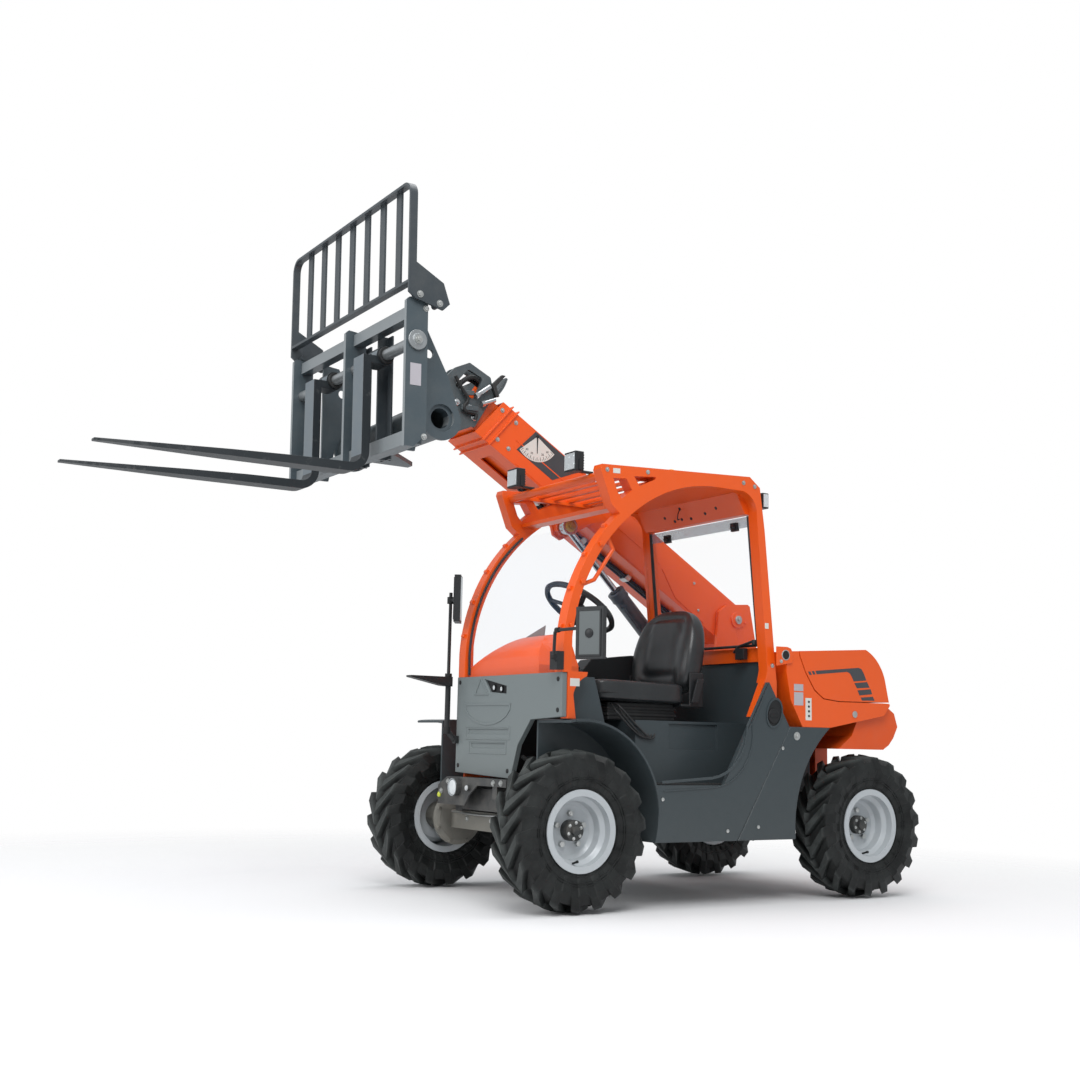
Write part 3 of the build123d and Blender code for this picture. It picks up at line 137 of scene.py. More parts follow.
class Finish(Nodes):
    """One material: its constants go on the shader, and what varies is joined to it."""

    def __init__(self, name, **constants):
        self.material = bpy.data.materials.new(name)
        self.material.use_nodes = True
        super().__init__(self.material.node_tree)
        self.shader = self.tree.nodes["Principled BSDF"]
        for key, value in constants.items():
            self.shader.inputs[key.replace("_", " ")].default_value = value

    def feed(self, name, value):
        self.join(self.shader.inputs[name], value)

    def spot(self):
        return self.add("ShaderNodeTexCoord", output="Object")

    def axis(self, letter):
        return self.add("ShaderNodeSeparateXYZ", inputs={0: self.spot()}, output=letter)

    def height(self):
        return self.axis("Z")

    def noise(self, scale, detail=3.0, rough=0.55):
        inputs = {"Vector": self.spot(), "Scale": scale, "Detail": detail, "Roughness": rough}
        return self.add("ShaderNodeTexNoise", {"noise_dimensions": "3D"}, inputs, "Fac")

    def ramp(self, value, *stops):
        return self.add("ShaderNodeValToRGB", {"stops": stops}, {"Fac": value}, "Color")

    def between(self, mask, one, two):
        """Colour one where mask is 0, colour two where it is 1."""
        return self.add("ShaderNodeMix", {"data_type": "RGBA"}, {0: mask, 6: one, 7: two}, 2)

    def bump(self, height, strength, distance):
        inputs = {"Height": height, "Strength": strength, "Distance": distance}
        self.feed("Normal", self.add("ShaderNodeBump", {}, inputs))


def rubber(name, tone, dust, grain=1.0, tread=0.0):
    """Moulded rubber: a fine grain, worn grey where dust lies. With a tread, the lugs' faces at that radius from
    the axles get a painted highlight: they are painted lighter than the carcass."""
    finish = Finish(name, Specular_IOR_Level=0.3)
    dust_and_lug_highlight = finish.ramp(finish.noise(9.0, 6.0, 0.6), (0.35, 0.0), (0.75, 1.0)) * 0.5
    if tread:
        away = finish.add("ShaderNodeMath", {"operation": "ABSOLUTE"}, {0: finish.axis("Y") - HOME.y}) - WHEEL_Y
        high = finish.height() - WHEEL_Z
        reach = finish.add("ShaderNodeMath", {"operation": "SQRT"}, {0: away * away + high * high})
        # Painted highlight: the lugs' outer faces at the tread's radius are painted lighter, mixed in with the dust.
        lug_highlight = finish.ramp(reach, (tread - 0.022, 0.0), (tread - 0.004, 1.0))
        dust_and_lug_highlight = dust_and_lug_highlight * 0.6 + lug_highlight * (0.45 + dust_and_lug_highlight)
    finish.feed("Base Color", finish.between(dust_and_lug_highlight, tone, dust))
    finish.feed("Roughness", 0.46 + dust_and_lug_highlight * 0.2)
    finish.bump(finish.noise(420.0, 2.0) + finish.noise(60.0, 3.0) * 1.5, 0.25 * grain, 0.0015)
    return finish.material


def placed(name, data):
    """A new object in the scene."""
    thing = bpy.data.objects.new(name, data)
    bpy.context.collection.objects.link(thing)
    return thing


def soften(thing, width, angle, segments):
    """Round the edges that are sharper than the angle."""
    edge = thing.modifiers.new("edge", "BEVEL")
    edge.width = width
    edge.segments = segments
    edge.limit_method = "ANGLE"
    edge.angle_limit = math.radians(angle)
    edge.harden_normals = True


def dress(node, body, material, width=0.0025, angle=32.0, segments=2, zones=(), flat=0.6):
    """The CAD piece again with its sharp edges rounded, as pressed, cast and moulded parts have them. A zone is
    a second material with a test of the points and the normal of a face. Faces flatter than flat are joined."""
    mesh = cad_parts[node].data.copy()
    mesh.name = node + "_dressed"
    mesh.materials.clear()
    for paint in (material, *(paint for paint, _ in zones)):
        mesh.materials.append(paint)
    work = bmesh.new()
    work.from_mesh(mesh)
    bmesh.ops.remove_doubles(work, verts=work.verts, dist=0.00003)
    if flat:
        bmesh.ops.dissolve_limit(work, angle_limit=math.radians(flat), verts=work.verts, edges=work.edges)
    for face in work.faces:
        face.smooth = True
        face.material_index = 0
        spots = [vert.co - HOME for vert in face.verts]
        for index, (_, test) in enumerate(zones):
            if test(spots, face.normal):
                face.material_index = index + 1
    work.to_mesh(mesh)
    work.free()
    mesh.set_sharp_from_angle(angle=math.radians(angle))
    thing = placed(node + "_dressed", mesh)
    soften(thing, width, angle, segments)
    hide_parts(node)
    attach(thing, body)
    return thing


def circle(work, centre, across, third, radius, sides):
    turns = [2 * math.pi * k / sides for k in range(sides)]
    return [work.verts.new(centre + (across * math.cos(t) + third * math.sin(t)) * radius) for t in turns]


def skin(work, rings, loop=False):
    """Faces between rings of points; the ends are closed, or joined to each other in a loop."""
    for low, high in zip(rings, rings[1:] + (rings[:1] if loop else [])):
        for k in range(len(low)):
            work.faces.new((low[k], low[k - 1], high[k - 1], high[k]))
    if not loop:
        work.faces.new(rings[0])
        work.faces.new(rings[-1][::-1])


def turned(work, start, way, profile, sides=32, loop=False):
    """Body of revolution about the line from start: profile lists (distance along the way, radius)."""
    axis = Vector(way).normalized()
    across = axis.orthogonal().normalized()
    third = axis.cross(across)
    skin(work, [circle(work, Vector(start) + axis * s, across, third, radius, sides) for s, radius in profile], loop)


def piece(name, work, material, edge=0.0, angle=32.0, body="chassis"):
    """What was drawn in the machine's own metres, as one object that rides on a body."""
    bmesh.ops.recalc_face_normals(work, faces=work.faces)
    bmesh.ops.translate(work, verts=work.verts, vec=HOME)
    for face in work.faces:
        face.smooth = True
    mesh = bpy.data.meshes.new(name)
    work.to_mesh(mesh)
    work.free()
    mesh.materials.append(material)
    mesh.set_sharp_from_angle(angle=math.radians(angle))
    thing = placed(name, mesh)
    if edge:
        soften(thing, edge, angle, 2)
    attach(thing, body)
    return thing


WHEEL_AT = {
    corner: Vector((WHEEL_X * (1 if "left" in corner else -1), WHEEL_Y * (-1 if "front" in corner else 1), WHEEL_Z))
    for corner in CORNERS
}
RIB_AT = ((0.186, 0.0935), (0.212, 0.103), (0.222, 0.1063))
# The tread radius 0.335 sets where the lugs' painted highlight falls.
tyre_rubber = rubber("tyre_rubber", srgb(13, 15, 15), srgb(66, 70, 69), tread=0.335)
for corner, centre in WHEEL_AT.items():
    dress("tyre_" + corner, "wheel_" + corner, tyre_rubber, 0.004, 25.0, flat=0.0)
    ribs = bmesh.new()
    for side in (-1, 1):
        for radius, out in RIB_AT:
            rib = [
                (-0.004, radius - 0.004), (0.003, radius - 0.002), (0.003, radius + 0.002), (-0.004, radius + 0.004),
            ]
            turned(ribs, centre + Vector((side * out, 0, 0)), (side, 0, 0), rib, 72, True)
    piece("tyre_ribs_" + corner, ribs, tyre_rubber, body="wheel_" + corner)

# ------------------------------------------------------------------ rims
# Pressed steel wheels in silver-grey enamel, each held by five plated nuts, with a cast hub in its middle and a
# short rubber valve.


def enamel(name, tone, rough=0.32, metallic=0.0, dirt=0.25, coat=0.25, peel=0.04, splash=0.0):
    """Sprayed paint: its tone drifts a little, dust dulls it, most of all low down, and its skin has a faint
    orange peel."""
    finish = Finish(name, Metallic=metallic, Coat_Roughness=0.12, Specular_IOR_Level=0.4)
    drift = finish.noise(2.2, 4.0)
    dusty = finish.ramp(finish.noise(14.0, 6.0, 0.65), (0.42, 0.0), (0.8, 1.0))
    dull = dusty * dirt
    if splash:
        low = finish.ramp(finish.height(), (0.12, 1.0), (0.75, 0.0))
        dull = dull + low * (0.35 + finish.noise(30.0, 5.0, 0.7)) * splash
    base = finish.between(drift, shade(tone, 0.1), tone)
    finish.feed("Base Color", finish.between(dull, base, shade(tone, 0.6, srgb(150, 144, 134))))
    finish.feed("Roughness", rough + dull * 0.3 + drift * 0.05)
    finish.feed("Coat Weight", coat - dull * coat)
    finish.bump(finish.noise(650.0, 2.0), peel, 0.001)
    return finish.material


def pin(work, start, end, radius, sides=24):
    way = Vector(end) - Vector(start)
    turned(work, start, way, [(0.0, radius), (way.length, radius)], sides)


def bolt(work, spot, way, radius=0.011):
    """Hexagonal head on its washer, standing on the spot and looking along the way."""
    turned(work, spot, way, [(-0.002, radius * 1.5), (radius * 0.25, radius * 1.5)], 20)
    turned(work, spot, way, [(0.0, radius), (radius * 0.85, radius), (radius, radius * 0.8)], 6)


def steel(name, tone, rough=0.35, metallic=0.9):
    """Bare or zinc-plated steel with a faint brushed grain."""
    finish = Finish(name, Metallic=metallic)
    stain = finish.ramp(finish.noise(22.0, 5.0, 0.6), (0.4, 0.0), (0.8, 1.0))
    finish.feed("Base Color", finish.between(stain, tone, shade(tone, 0.35)))
    finish.feed("Roughness", rough + stain * 0.2)
    finish.bump(finish.noise(300.0, 2.0), 0.05, 0.0006)
    return finish.material


def hoop(work, spot, way, low, high, outer, inner, sides):
    """Square-edged ring from low to high along the way."""
    turned(work, spot, way, [(low, outer), (high, outer), (high, inner), (low, inner)], sides, True)


rim_enamel = enamel("rim_enamel", srgb(184, 190, 194), 0.34, 0.1, 0.15, 0.2, splash=0.15)
hub_cast = enamel("hub_cast", srgb(60, 62, 62), 0.5, 0.2, 0.5, 0.0)
zinc = steel("zinc_plate", srgb(196, 198, 196), 0.3)
HUB_R, NUT_IN, NUT_OUT, NUT_FACE = 0.046, 0.054, 0.086, 0.0015
for corner, centre in WHEEL_AT.items():
    side = 1 if "left" in corner else -1

    def within(spots, inner, outer):
        away = [spot - centre for spot in spots]
        reach = [math.hypot(p.y, p.z) for p in away]
        return inner < min(reach) and max(reach) < outer and max(p.x * side for p in away) > NUT_FACE

    def on_hub(spots, normal):
        return within(spots, -1.0, HUB_R)

    def on_nut(spots, normal):
        return within(spots, NUT_IN, NUT_OUT)

    zones = ((hub_cast, on_hub), (zinc, on_nut))
    dress("rim_" + corner, "wheel_" + corner, rim_enamel, 0.0012, zones=zones, flat=0.0)
    trim = bmesh.new()
    hoop(trim, centre, (side, 0, 0), 0.03, 0.034, 0.126, 0.13, 72)
    hoop(trim, centre, (side, 0, 0), 0.0885, 0.0945, 0.156, 0.16, 72)
    piece("rim_steps_" + corner, trim, rim_enamel, body="wheel_" + corner)
    valve = bmesh.new()
    foot = centre + Vector((side * 0.06, -0.018, -0.132))
    pin(valve, foot, foot + Vector((side * 0.03, 0, 0.008)), 0.0045, 12)
    pin(valve, foot + Vector((side * 0.028, 0, 0.0075)), foot + Vector((side * 0.036, 0, 0.0095)), 0.006, 12)
    piece("valve_" + corner, valve, tyre_rubber, body="wheel_" + corner)
    hub = bmesh.new()
    cap = 0.046 if "front" in corner else 0.03
    for k in range(6):
        turn = math.radians(60 * k + 20)
        face = centre + Vector((side * cap, 0.033 * math.cos(turn), 0.033 * math.sin(turn)))
        bolt(hub, face, (side, 0, 0), 0.005)
    piece("hub_bolts_" + corner, hub, zinc, body="wheel_" + corner)

# ------------------------------------------------------------------ axles
# Cast axle beams with bolted drums in a pale grey-beige enamel that dries matt, and the rear wheels' knuckles.
# The front beam carries a steel brake pipe and three bolts.

axle_enamel = enamel("axle_enamel", srgb(112, 111, 105), 0.45, 0.1, 0.4, 0.0, 0.1, splash=0.3)
for node, body in (
    ("front_axle", "chassis"),
    ("rear_axle", "chassis"),
    ("knuckle_left", "steer_left"),
    ("knuckle_right", "steer_right"),
):
    dress(node, body, axle_enamel, 0.004)


def hose(work, points, radius, sides=12, steps=6):
    """Round hose or pipe that runs smoothly through the points."""
    rail = [Vector(p) for p in points]
    rail = [rail[0] * 2 - rail[1]] + rail + [rail[-1] * 2 - rail[-2]]
    line = []
    for a, b, c, d in zip(rail, rail[1:], rail[2:], rail[3:]):
        for k in range(steps):
            t = k / steps
            bend = (2 * a - 5 * b + 4 * c - d) * t**2 + (3 * b - a - 3 * c + d) * t**3
            line.append((2 * b + (c - a) * t + bend) / 2)
    line.append(rail[-2])
    across = (line[1] - line[0]).orthogonal().normalized()
    rings = []
    for k, spot in enumerate(line):
        way = (line[min(k + 1, len(line) - 1)] - line[max(k - 1, 0)]).normalized()
        across = (across - way * across.dot(way)).normalized()
        third = way.cross(across)
        rings.append(circle(work, spot, across, third, radius, sides))
    skin(work, rings)


LEFT, RIGHT, AHEAD, REAR, UP = (1, 0, 0), (-1, 0, 0), (0, -1, 0), (0, 1, 0), (0, 0, 1)
pipes = bmesh.new()
hose(pipes, [(-0.33, -0.893, 0.372), (-0.1, -0.893, 0.366), (0.12, -0.893, 0.372), (0.33, -0.893, 0.384)], 0.005)
for x in (-0.2, 0.02, 0.24):
    bolt(pipes, (x, -0.885, 0.345), AHEAD, 0.009)
piece("brake_pipe", pipes, zinc)

# ------------------------------------------------------------------ frame and bumper
# Welded frame of two rails in black enamel, and the open black bracket in front with a round headlamp in a
# bright ring, its small side lamp and a yellow-green plug.


def button(work, spot, way, radius, high, top_high, top, sides=20, low=-0.001):
    """Round head with a bevelled top."""
    turned(work, spot, way, [(low, radius), (high, radius), (top_high, top)], sides)


frame_enamel = enamel("frame_enamel", srgb(44, 47, 50), 0.42, 0.0, 0.35, 0.1, splash=0.3)
dress("chassis_frame", "chassis", frame_enamel)
dress("front_bumper", "chassis", frame_enamel)


def clear(name, tone, alpha, rough=0.05):
    """Clear glass or plastic: smooth, thin and slightly toned."""
    finish = Finish(name, IOR=1.45, Alpha=alpha, Base_Color=tone)
    finish.feed("Roughness", rough + finish.noise(3.0, 2.0) * 0.02)
    return finish.material


lens_glass = clear("lens_glass", srgb(236, 240, 242), 0.55)
mirror_coat = steel("mirror_coat", srgb(214, 218, 220), 0.08, 1.0)
amber_lens = clear("amber_lens", srgb(255, 158, 26), 0.92, 0.15)
bright = bmesh.new()
lens = bmesh.new()
HEADLAMP = (-0.12, -1.014, 0.492)
turned(bright, HEADLAMP, AHEAD, [(0, 0.035), (0.004, 0.036), (0.004, 0.04), (0, 0.04)], 40, True)
turned(bright, HEADLAMP, AHEAD, [(-0.001, 0.034), (0.0006, 0.034)], 40)
turned(lens, HEADLAMP, AHEAD, [(0.001, 0.034), (0.005, 0.028), (0.007, 0.015), (0.0075, 0.003)], 40)
turned(lens, (-0.009, -1.004, 0.492), AHEAD, [(0.0, 0.012), (0.004, 0.01), (0.006, 0.004)], 24)
piece("headlamp_ring", bright, mirror_coat)
piece("headlamp_lens", lens, lens_glass)
plug = bmesh.new()
button(plug, (-0.285, -0.9895, 0.452), AHEAD, 0.012, 0.006, 0.009, 0.008, low=-0.002)
piece("bumper_plug", plug, enamel("plug_green", srgb(196, 206, 64), 0.4))
mounts = bmesh.new()
for x, z in ((-0.205, 0.515), (0.205, 0.52), (0.27, 0.522), (-0.27, 0.47)):
    bolt(mounts, (x, -0.99, z), AHEAD, 0.009)
piece("bumper_bolts", mounts, zinc)

# ------------------------------------------------------------------ front panel
# Moulded front wall in light slate plastic, with a raised triangle, a lamp recess with two small round lamps,
# a half-round boss and two long slots, clipped to the frame with five studs.


def slab(work, corners, depth):
    """Flat outline pushed along the vector depth."""
    low = [work.verts.new(Vector(c)) for c in corners]
    high = [work.verts.new(Vector(c) + Vector(depth)) for c in corners]
    work.faces.new(low[::-1])
    work.faces.new(high)
    for k in range(len(low)):
        work.faces.new((low[k - 1], low[k], high[k], high[k - 1]))


def moulded(name, tone, rough=0.45, splash=0.2):
    """Moulded plastic: dull, with a fine leather grain that catches dust."""
    finish = Finish(name, Specular_IOR_Level=0.4)
    drift = finish.noise(3.0, 4.0)
    low = finish.ramp(finish.height(), (0.25, 1.0), (0.9, 0.0))
    dull = low * (0.3 + finish.noise(24.0, 5.0, 0.7)) * splash
    base = finish.between(drift, shade(tone, 0.08), tone)
    finish.feed("Base Color", finish.between(dull, base, shade(tone, 0.6, srgb(150, 144, 134))))
    finish.feed("Roughness", rough + dull * 0.25)
    finish.bump(finish.noise(900.0, 2.0), 0.12, 0.0006)
    return finish.material


def flat_ring(outline, width):
    """Border of a closed outline in a plane: the outline itself and the same line moved inwards."""
    count = len(outline)
    inner = []
    for k in range(count):
        before, here, after = (Vector(outline[j % count]) for j in (k - 1, k, k + 1))
        first = (here - before).normalized()
        second = (after - here).normalized()
        turn = Vector((-first.y - second.y, first.x + second.x)).normalized()
        cosine = max(0.35, turn.dot(Vector((-first.y, first.x))))
        inner.append(here + turn * (width / cosine))
    return inner


front_grey = moulded("front_grey", srgb(112, 120, 121), 0.4)
dress("front_panel", "chassis", front_grey, 0.004)
FACE_Y = -0.935


def front_border(work, outline, width, height):
    """Raised rib around an outline (x, z) on the front face."""
    inner = flat_ring(outline, width)
    for k in range(len(outline)):
        a, b = outline[k - 1], outline[k]
        c, d = inner[k], inner[k - 1]
        slab(work, [(p[0], FACE_Y + 0.001, p[1]) for p in (a, b, c, d)], (0, -height, 0))


ribs = bmesh.new()
triangle = [(-0.021, 0.995), (-0.077, 0.914), (0.054, 0.912)]
front_border(ribs, triangle, 0.007, 0.004)
half_round = [(-0.166, 0.876)]
half_round += [
    (0.042 - 0.208 * math.cos(math.radians(18 * k)), 0.87 - 0.095 * math.sin(math.radians(18 * k)))
    for k in range(1, 10)
]
half_round += [(0.249, 0.873)]
front_border(ribs, half_round, 0.01, 0.004)
for z0, z1, x0, x1 in ((0.716, 0.764, -0.142, 0.24), (0.652, 0.7, -0.11, 0.21)):
    front_border(ribs, [(x0, z0), (x0, z1), (x1, z1), (x1, z0)], 0.006, 0.003)
piece("front_panel_ribs", ribs, front_grey, 0.0012)
deep_black = moulded("deep_black", srgb(24, 25, 27), 0.6, 0.05)
dark = bmesh.new()
slab(
    dark, [(0.012, -0.9245, 0.983), (0.203, -0.9245, 0.949), (0.203, -0.9245, 0.916), (0.061, -0.9245, 0.926)],
    (0, 0.001, 0),
)
piece("front_panel_shadows", dark, deep_black)
bright = bmesh.new()
lens = bmesh.new()
for x, z in ((0.086, 0.945), (0.152, 0.938)):
    turned(bright, (x, -0.926, z), AHEAD, [(0, 0.015), (0.006, 0.015), (0.006, 0.012), (0.002, 0.011)], 28, True)
    turned(lens, (x, -0.926, z), AHEAD, [(0.001, 0.012), (0.004, 0.01), (0.006, 0.004)], 24)
piece("recess_lamp_rings", bright, deep_black)
piece("recess_lamps", lens, lens_glass)
studs = bmesh.new()
for x, z in ((-0.215, 0.975), (0.625, 0.97), (-0.215, 0.59), (0.23, 0.575), (0.625, 0.84)):
    button(studs, (x, FACE_Y, z), AHEAD, 0.01, 0.002, 0.004, 0.006)
piece("front_panel_studs", studs, deep_black)

# ------------------------------------------------------------------ side panels and wheel arches
# Rotomoulded panels in dark slate plastic, screwed to the frame: the arches, the door sill with its raised edge,
# the fuel filler in its oval recess and the rear quarter with a large screw.

slate = moulded("slate_panel", srgb(56, 65, 69), 0.34, 0.1)
for node in ("body_left", "body_right", "rear_side_left"):
    dress(node, "chassis", slate, 0.006, segments=3)
SIDE_X = 0.69


def block(work, across, along, up):
    """Box between two values on each axis."""
    (x0, x1), (y0, y1), (z0, z1) = across, along, up
    slab(work, [(x0, y0, z0), (x1, y0, z0), (x1, y1, z0), (x0, y1, z0)], (0, 0, z1 - z0))


def side_plate(work, x, outline, thick):
    """Flat outline of points (y, z) at x, as thick as given along x."""
    slab(work, [(x, *p) for p in outline], (thick, 0, 0))


def strip(work, x, points, width, out):
    """Raised strip along points (y, z) on a side face at x, with mitred bends."""
    spots = [Vector(p) for p in points]
    rows = []
    for k, here in enumerate(spots):
        before = (here - spots[k - 1]).normalized() if k else (spots[1] - here).normalized()
        after = (spots[k + 1] - here).normalized() if k + 1 < len(spots) else before
        way = (before + after).normalized()
        square = Vector((-way.y, way.x))
        reach = width / 2 / max(0.4, square.dot(Vector((-before.y, before.x))))
        rows.append((here - square * reach, here + square * reach))
    for (a, b), (c, d) in zip(rows, rows[1:]):
        side_plate(work, x - 0.001 * out, (a, c, d, b), 0.0045 * out)


def bow(first, through, last, steps=12):
    """Points (a, b) on the arc through three points."""
    (ax, ay), (bx, by), (cx, cy) = first, through, last
    turn = 2 * (ax * (by - cy) + bx * (cy - ay) + cx * (ay - by))
    a2, b2, c2 = ax * ax + ay * ay, bx * bx + by * by, cx * cx + cy * cy
    ux = (a2 * (by - cy) + b2 * (cy - ay) + c2 * (ay - by)) / turn
    uy = (a2 * (cx - bx) + b2 * (ax - cx) + c2 * (bx - ax)) / turn
    radius = math.hypot(ax - ux, ay - uy)
    start = math.atan2(ay - uy, ax - ux)
    half = math.atan2(by - uy, bx - ux) - start
    whole = math.atan2(cy - uy, cx - ux) - start
    half, whole = half % (2 * math.pi), whole % (2 * math.pi)
    if half > whole:
        whole -= 2 * math.pi
    return [
        (ux + radius * math.cos(start + whole * k / steps), uy + radius * math.sin(start + whole * k / steps))
        for k in range(steps + 1)
    ]


edge = bmesh.new()
corner = bow((0.055, 0.795), (0.012, 0.655), (-0.15, 0.562), 8)
strip(edge, SIDE_X, [(0.172, 0.996), *corner, (-0.43, 0.543)], 0.012, 1)
corner = bow((0.085, 0.8), (0.045, 0.625), (-0.145, 0.52), 8)
strip(edge, SIDE_X, [(0.15, 0.925), *corner, (-0.42, 0.505)], 0.006, 1)
for x, out in ((SIDE_X, 1), (-SIDE_X, -1)):
    arch = [
        (-0.84 + 0.399 * math.cos(t), 0.4 + 0.399 * math.sin(t))
        for t in [math.radians(a) for a in range(96, -2, -6)]
    ]
    strip(edge, x, arch, 0.009, out)
piece("panel_edges", edge, slate, 0.001)
filler = bmesh.new()
centre = Vector((SIDE_X, 0.219, 0.86))
oval = [
    Vector((0, 0.049 * math.cos(t) + 0.01 * math.sin(t), 0.07 * math.sin(t)))
    for t in [math.radians(15 * k) for k in range(24)]
]
for k in range(24):
    a, b = centre + oval[k - 1], centre + oval[k]
    c, d = centre + oval[k] * 0.86, centre + oval[k - 1] * 0.86
    slab(filler, [p - Vector((0.001, 0, 0)) for p in (a, b, c, d)], (0.005, 0, 0))
piece("filler_rim", filler, slate)
# Painted shade: a thin black sheet inside the raised rim stands for the shade in the filler's recess.
well = bmesh.new()
slab(well, [centre + p * 0.88 for p in oval], (0.0012, 0, 0))
piece("filler_recess_shade", well, deep_black)
cap = bmesh.new()
CAP_AT = (SIDE_X, 0.212, 0.846)
turned(cap, CAP_AT, LEFT, [(0.0, 0.033), (0.006, 0.033), (0.008, 0.03), (0.0085, 0.01)], 36)
block(cap, (0.697, 0.7015), (0.186, 0.238), (0.841, 0.851))
piece("filler_cap", cap, deep_black, 0.001)
screws = bmesh.new()
turned(screws, (SIDE_X, 0.358, 0.757), LEFT, [(-0.001, 0.019), (0.0025, 0.019)], 28)
bolt(screws, (SIDE_X + 0.0025, 0.358, 0.757), LEFT, 0.008)
for y, z in ((-0.425, 0.47), (-0.06, 0.33), (0.12, 0.345), (0.27, 0.7)):
    button(screws, (SIDE_X, y, z), LEFT, 0.008, 0.003, 0.0045, 0.005)
for y, z in ((-0.3, 0.7), (0.2, 0.7), (-0.3, 0.34), (0.25, 0.34)):
    button(screws, (-SIDE_X, y, z), RIGHT, 0.012, 0.003, 0.0045, 0.008)
piece("panel_screws", screws, zinc)
tank = bmesh.new()
for z in (0.385, 0.56, 0.735):
    strip(tank, -SIDE_X, [(-0.36 if z > 0.5 else -0.4, z), (0.31, z)], 0.016, -1)
turned(tank, (-0.6, -0.1, 0.789), UP, [(0.0, 0.052), (0.018, 0.052), (0.024, 0.044), (0.025, 0.012)], 40)
piece("tank_ribs", tank, slate, 0.001)

# ------------------------------------------------------------------ cab floor and seat box
# Floor and seat box in the slate of the side panels, standing on the frame's rails, with a ribbed black rubber
# mat and three loose cables beside the seat.

dress("cab_floor", "chassis", slate, 0.01, segments=3)
mat_rubber = rubber("mat_rubber", srgb(34, 35, 37), srgb(78, 78, 76), 0.6)
mat = bmesh.new()
block(mat, (-0.14, 0.405), (-0.885, -0.435), (0.53, 0.535))
for k in range(14):
    x = -0.12 + k * 0.0385
    block(mat, (x, x + 0.014), (-0.875, -0.445), (0.534, 0.538))
slab(mat, [(0.43, -0.425, 0.53), (0.655, -0.425, 0.53), (0.655, 0.0, 0.53), (0.49, 0.0, 0.53)][::-1], (0, 0, 0.005))
piece("floor_mat", mat, mat_rubber, 0.001)
cables = bmesh.new()
for shift, sag in ((0.0, 0.0), (0.018, 0.022), (0.036, -0.012)):
    start = Vector((0.4, -0.5 + shift, 0.884))
    low = [Vector((0.468, -0.515 + shift, 0.845 + sag)), Vector((0.488, -0.43 + shift, 0.76 + sag))]
    hose(
        cables, [start, *low, Vector((0.488, -0.36 + shift, 0.735)), Vector((0.44, -0.33 + shift, 0.812))], 0.0045,
        10,
    )
piece("seat_cables", cables, mat_rubber)

# ------------------------------------------------------------------ engine
# Plain block in cast grey that stands for the engine's mass. It is fixed to the frame, and the hood hides it, so
# it carries no detail.

cast_grey = enamel("cast_grey", srgb(70, 74, 78), 0.55, 0.1, 0.4, 0.0, 0.25)
dress("engine_block", "chassis", cast_grey, 0.006)

# ------------------------------------------------------------------ counterweight
# Cast iron rear bumper in orange enamel, with the tow jaw below, two round rear lamps in black rings on each
# end, two reflectors, a blank plate and the bolts that hold it to the rails.

orange = enamel("orange_paint", srgb(232, 88, 14), 0.3, 0.0, 0.04, 0.2, 0.03, splash=0.06)
orange_cast = enamel("orange_cast", srgb(222, 82, 14), 0.36, 0.0, 0.1, 0.15, 0.2, splash=0.12)
dress("counterweight", "chassis", orange_cast, 0.008, segments=3)
red_lens = clear("red_lens", srgb(176, 20, 18), 0.95, 0.15)
black_plastic = moulded("black_plastic", srgb(34, 36, 38), 0.42, 0.1)


def plank(work, across, one, other, depth):
    """Flat bar between two values of x, from an edge at one (y, z) to an edge at the other."""
    x0, x1 = across
    slab(work, [(x0, *one), (x1, *one), (x1, *other), (x0, *other)], depth)


REAR_FACE = ((1.032, 0.76), (1.062, 0.815))
REAR_Y, REAR_Z = 1.047, 0.7875
lamp_way = Vector((0, REAR_FACE[1][1] - REAR_FACE[0][1], -(REAR_FACE[1][0] - REAR_FACE[0][0]))).normalized()
lamp_rings = bmesh.new()
reds = bmesh.new()
ambers = bmesh.new()
for side in (-1, 1):
    for x, work in ((0.59, ambers), (0.52, reds)):
        spot = Vector((side * x, REAR_Y, REAR_Z))
        turned(
            lamp_rings, spot, lamp_way, [(-0.002, 0.031), (0.008, 0.031), (0.008, 0.027), (0.002, 0.027)], 32, True,
        )
        turned(work, spot, lamp_way, [(-0.001, 0.027), (0.007, 0.026), (0.01, 0.02), (0.011, 0.006)], 32)
    button(reds, (side * 0.4, REAR_Y, REAR_Z), lamp_way, 0.02, 0.004, 0.005, 0.018, 28)
piece("rear_lamp_rings", lamp_rings, black_plastic)
piece("rear_lamps_red", reds, red_lens)
piece("rear_lamps_amber", ambers, amber_lens)
weight_bolts = bmesh.new()
for x in (-0.12, 0.0, 0.12):
    bolt(weight_bolts, (x, 0.99, 0.66), REAR, 0.014)
for x in (-0.2, 0.2):
    bolt(weight_bolts, (x, 0.99, 0.5), REAR, 0.014)
piece("weight_bolts", weight_bolts, zinc)
plate = bmesh.new()
plank(plate, (-0.3, -0.14), (1.0475, 0.788), (1.06, 0.811), lamp_way * 0.002)
piece("blank_plate_rear", plate, rim_enamel)

# ------------------------------------------------------------------ rear valance
# Fixed lower rear panels in orange enamel, with three stickers without text, one of them with four dots, a round
# stud, and in front of them the plate of the cab's latch with its ringed hole.

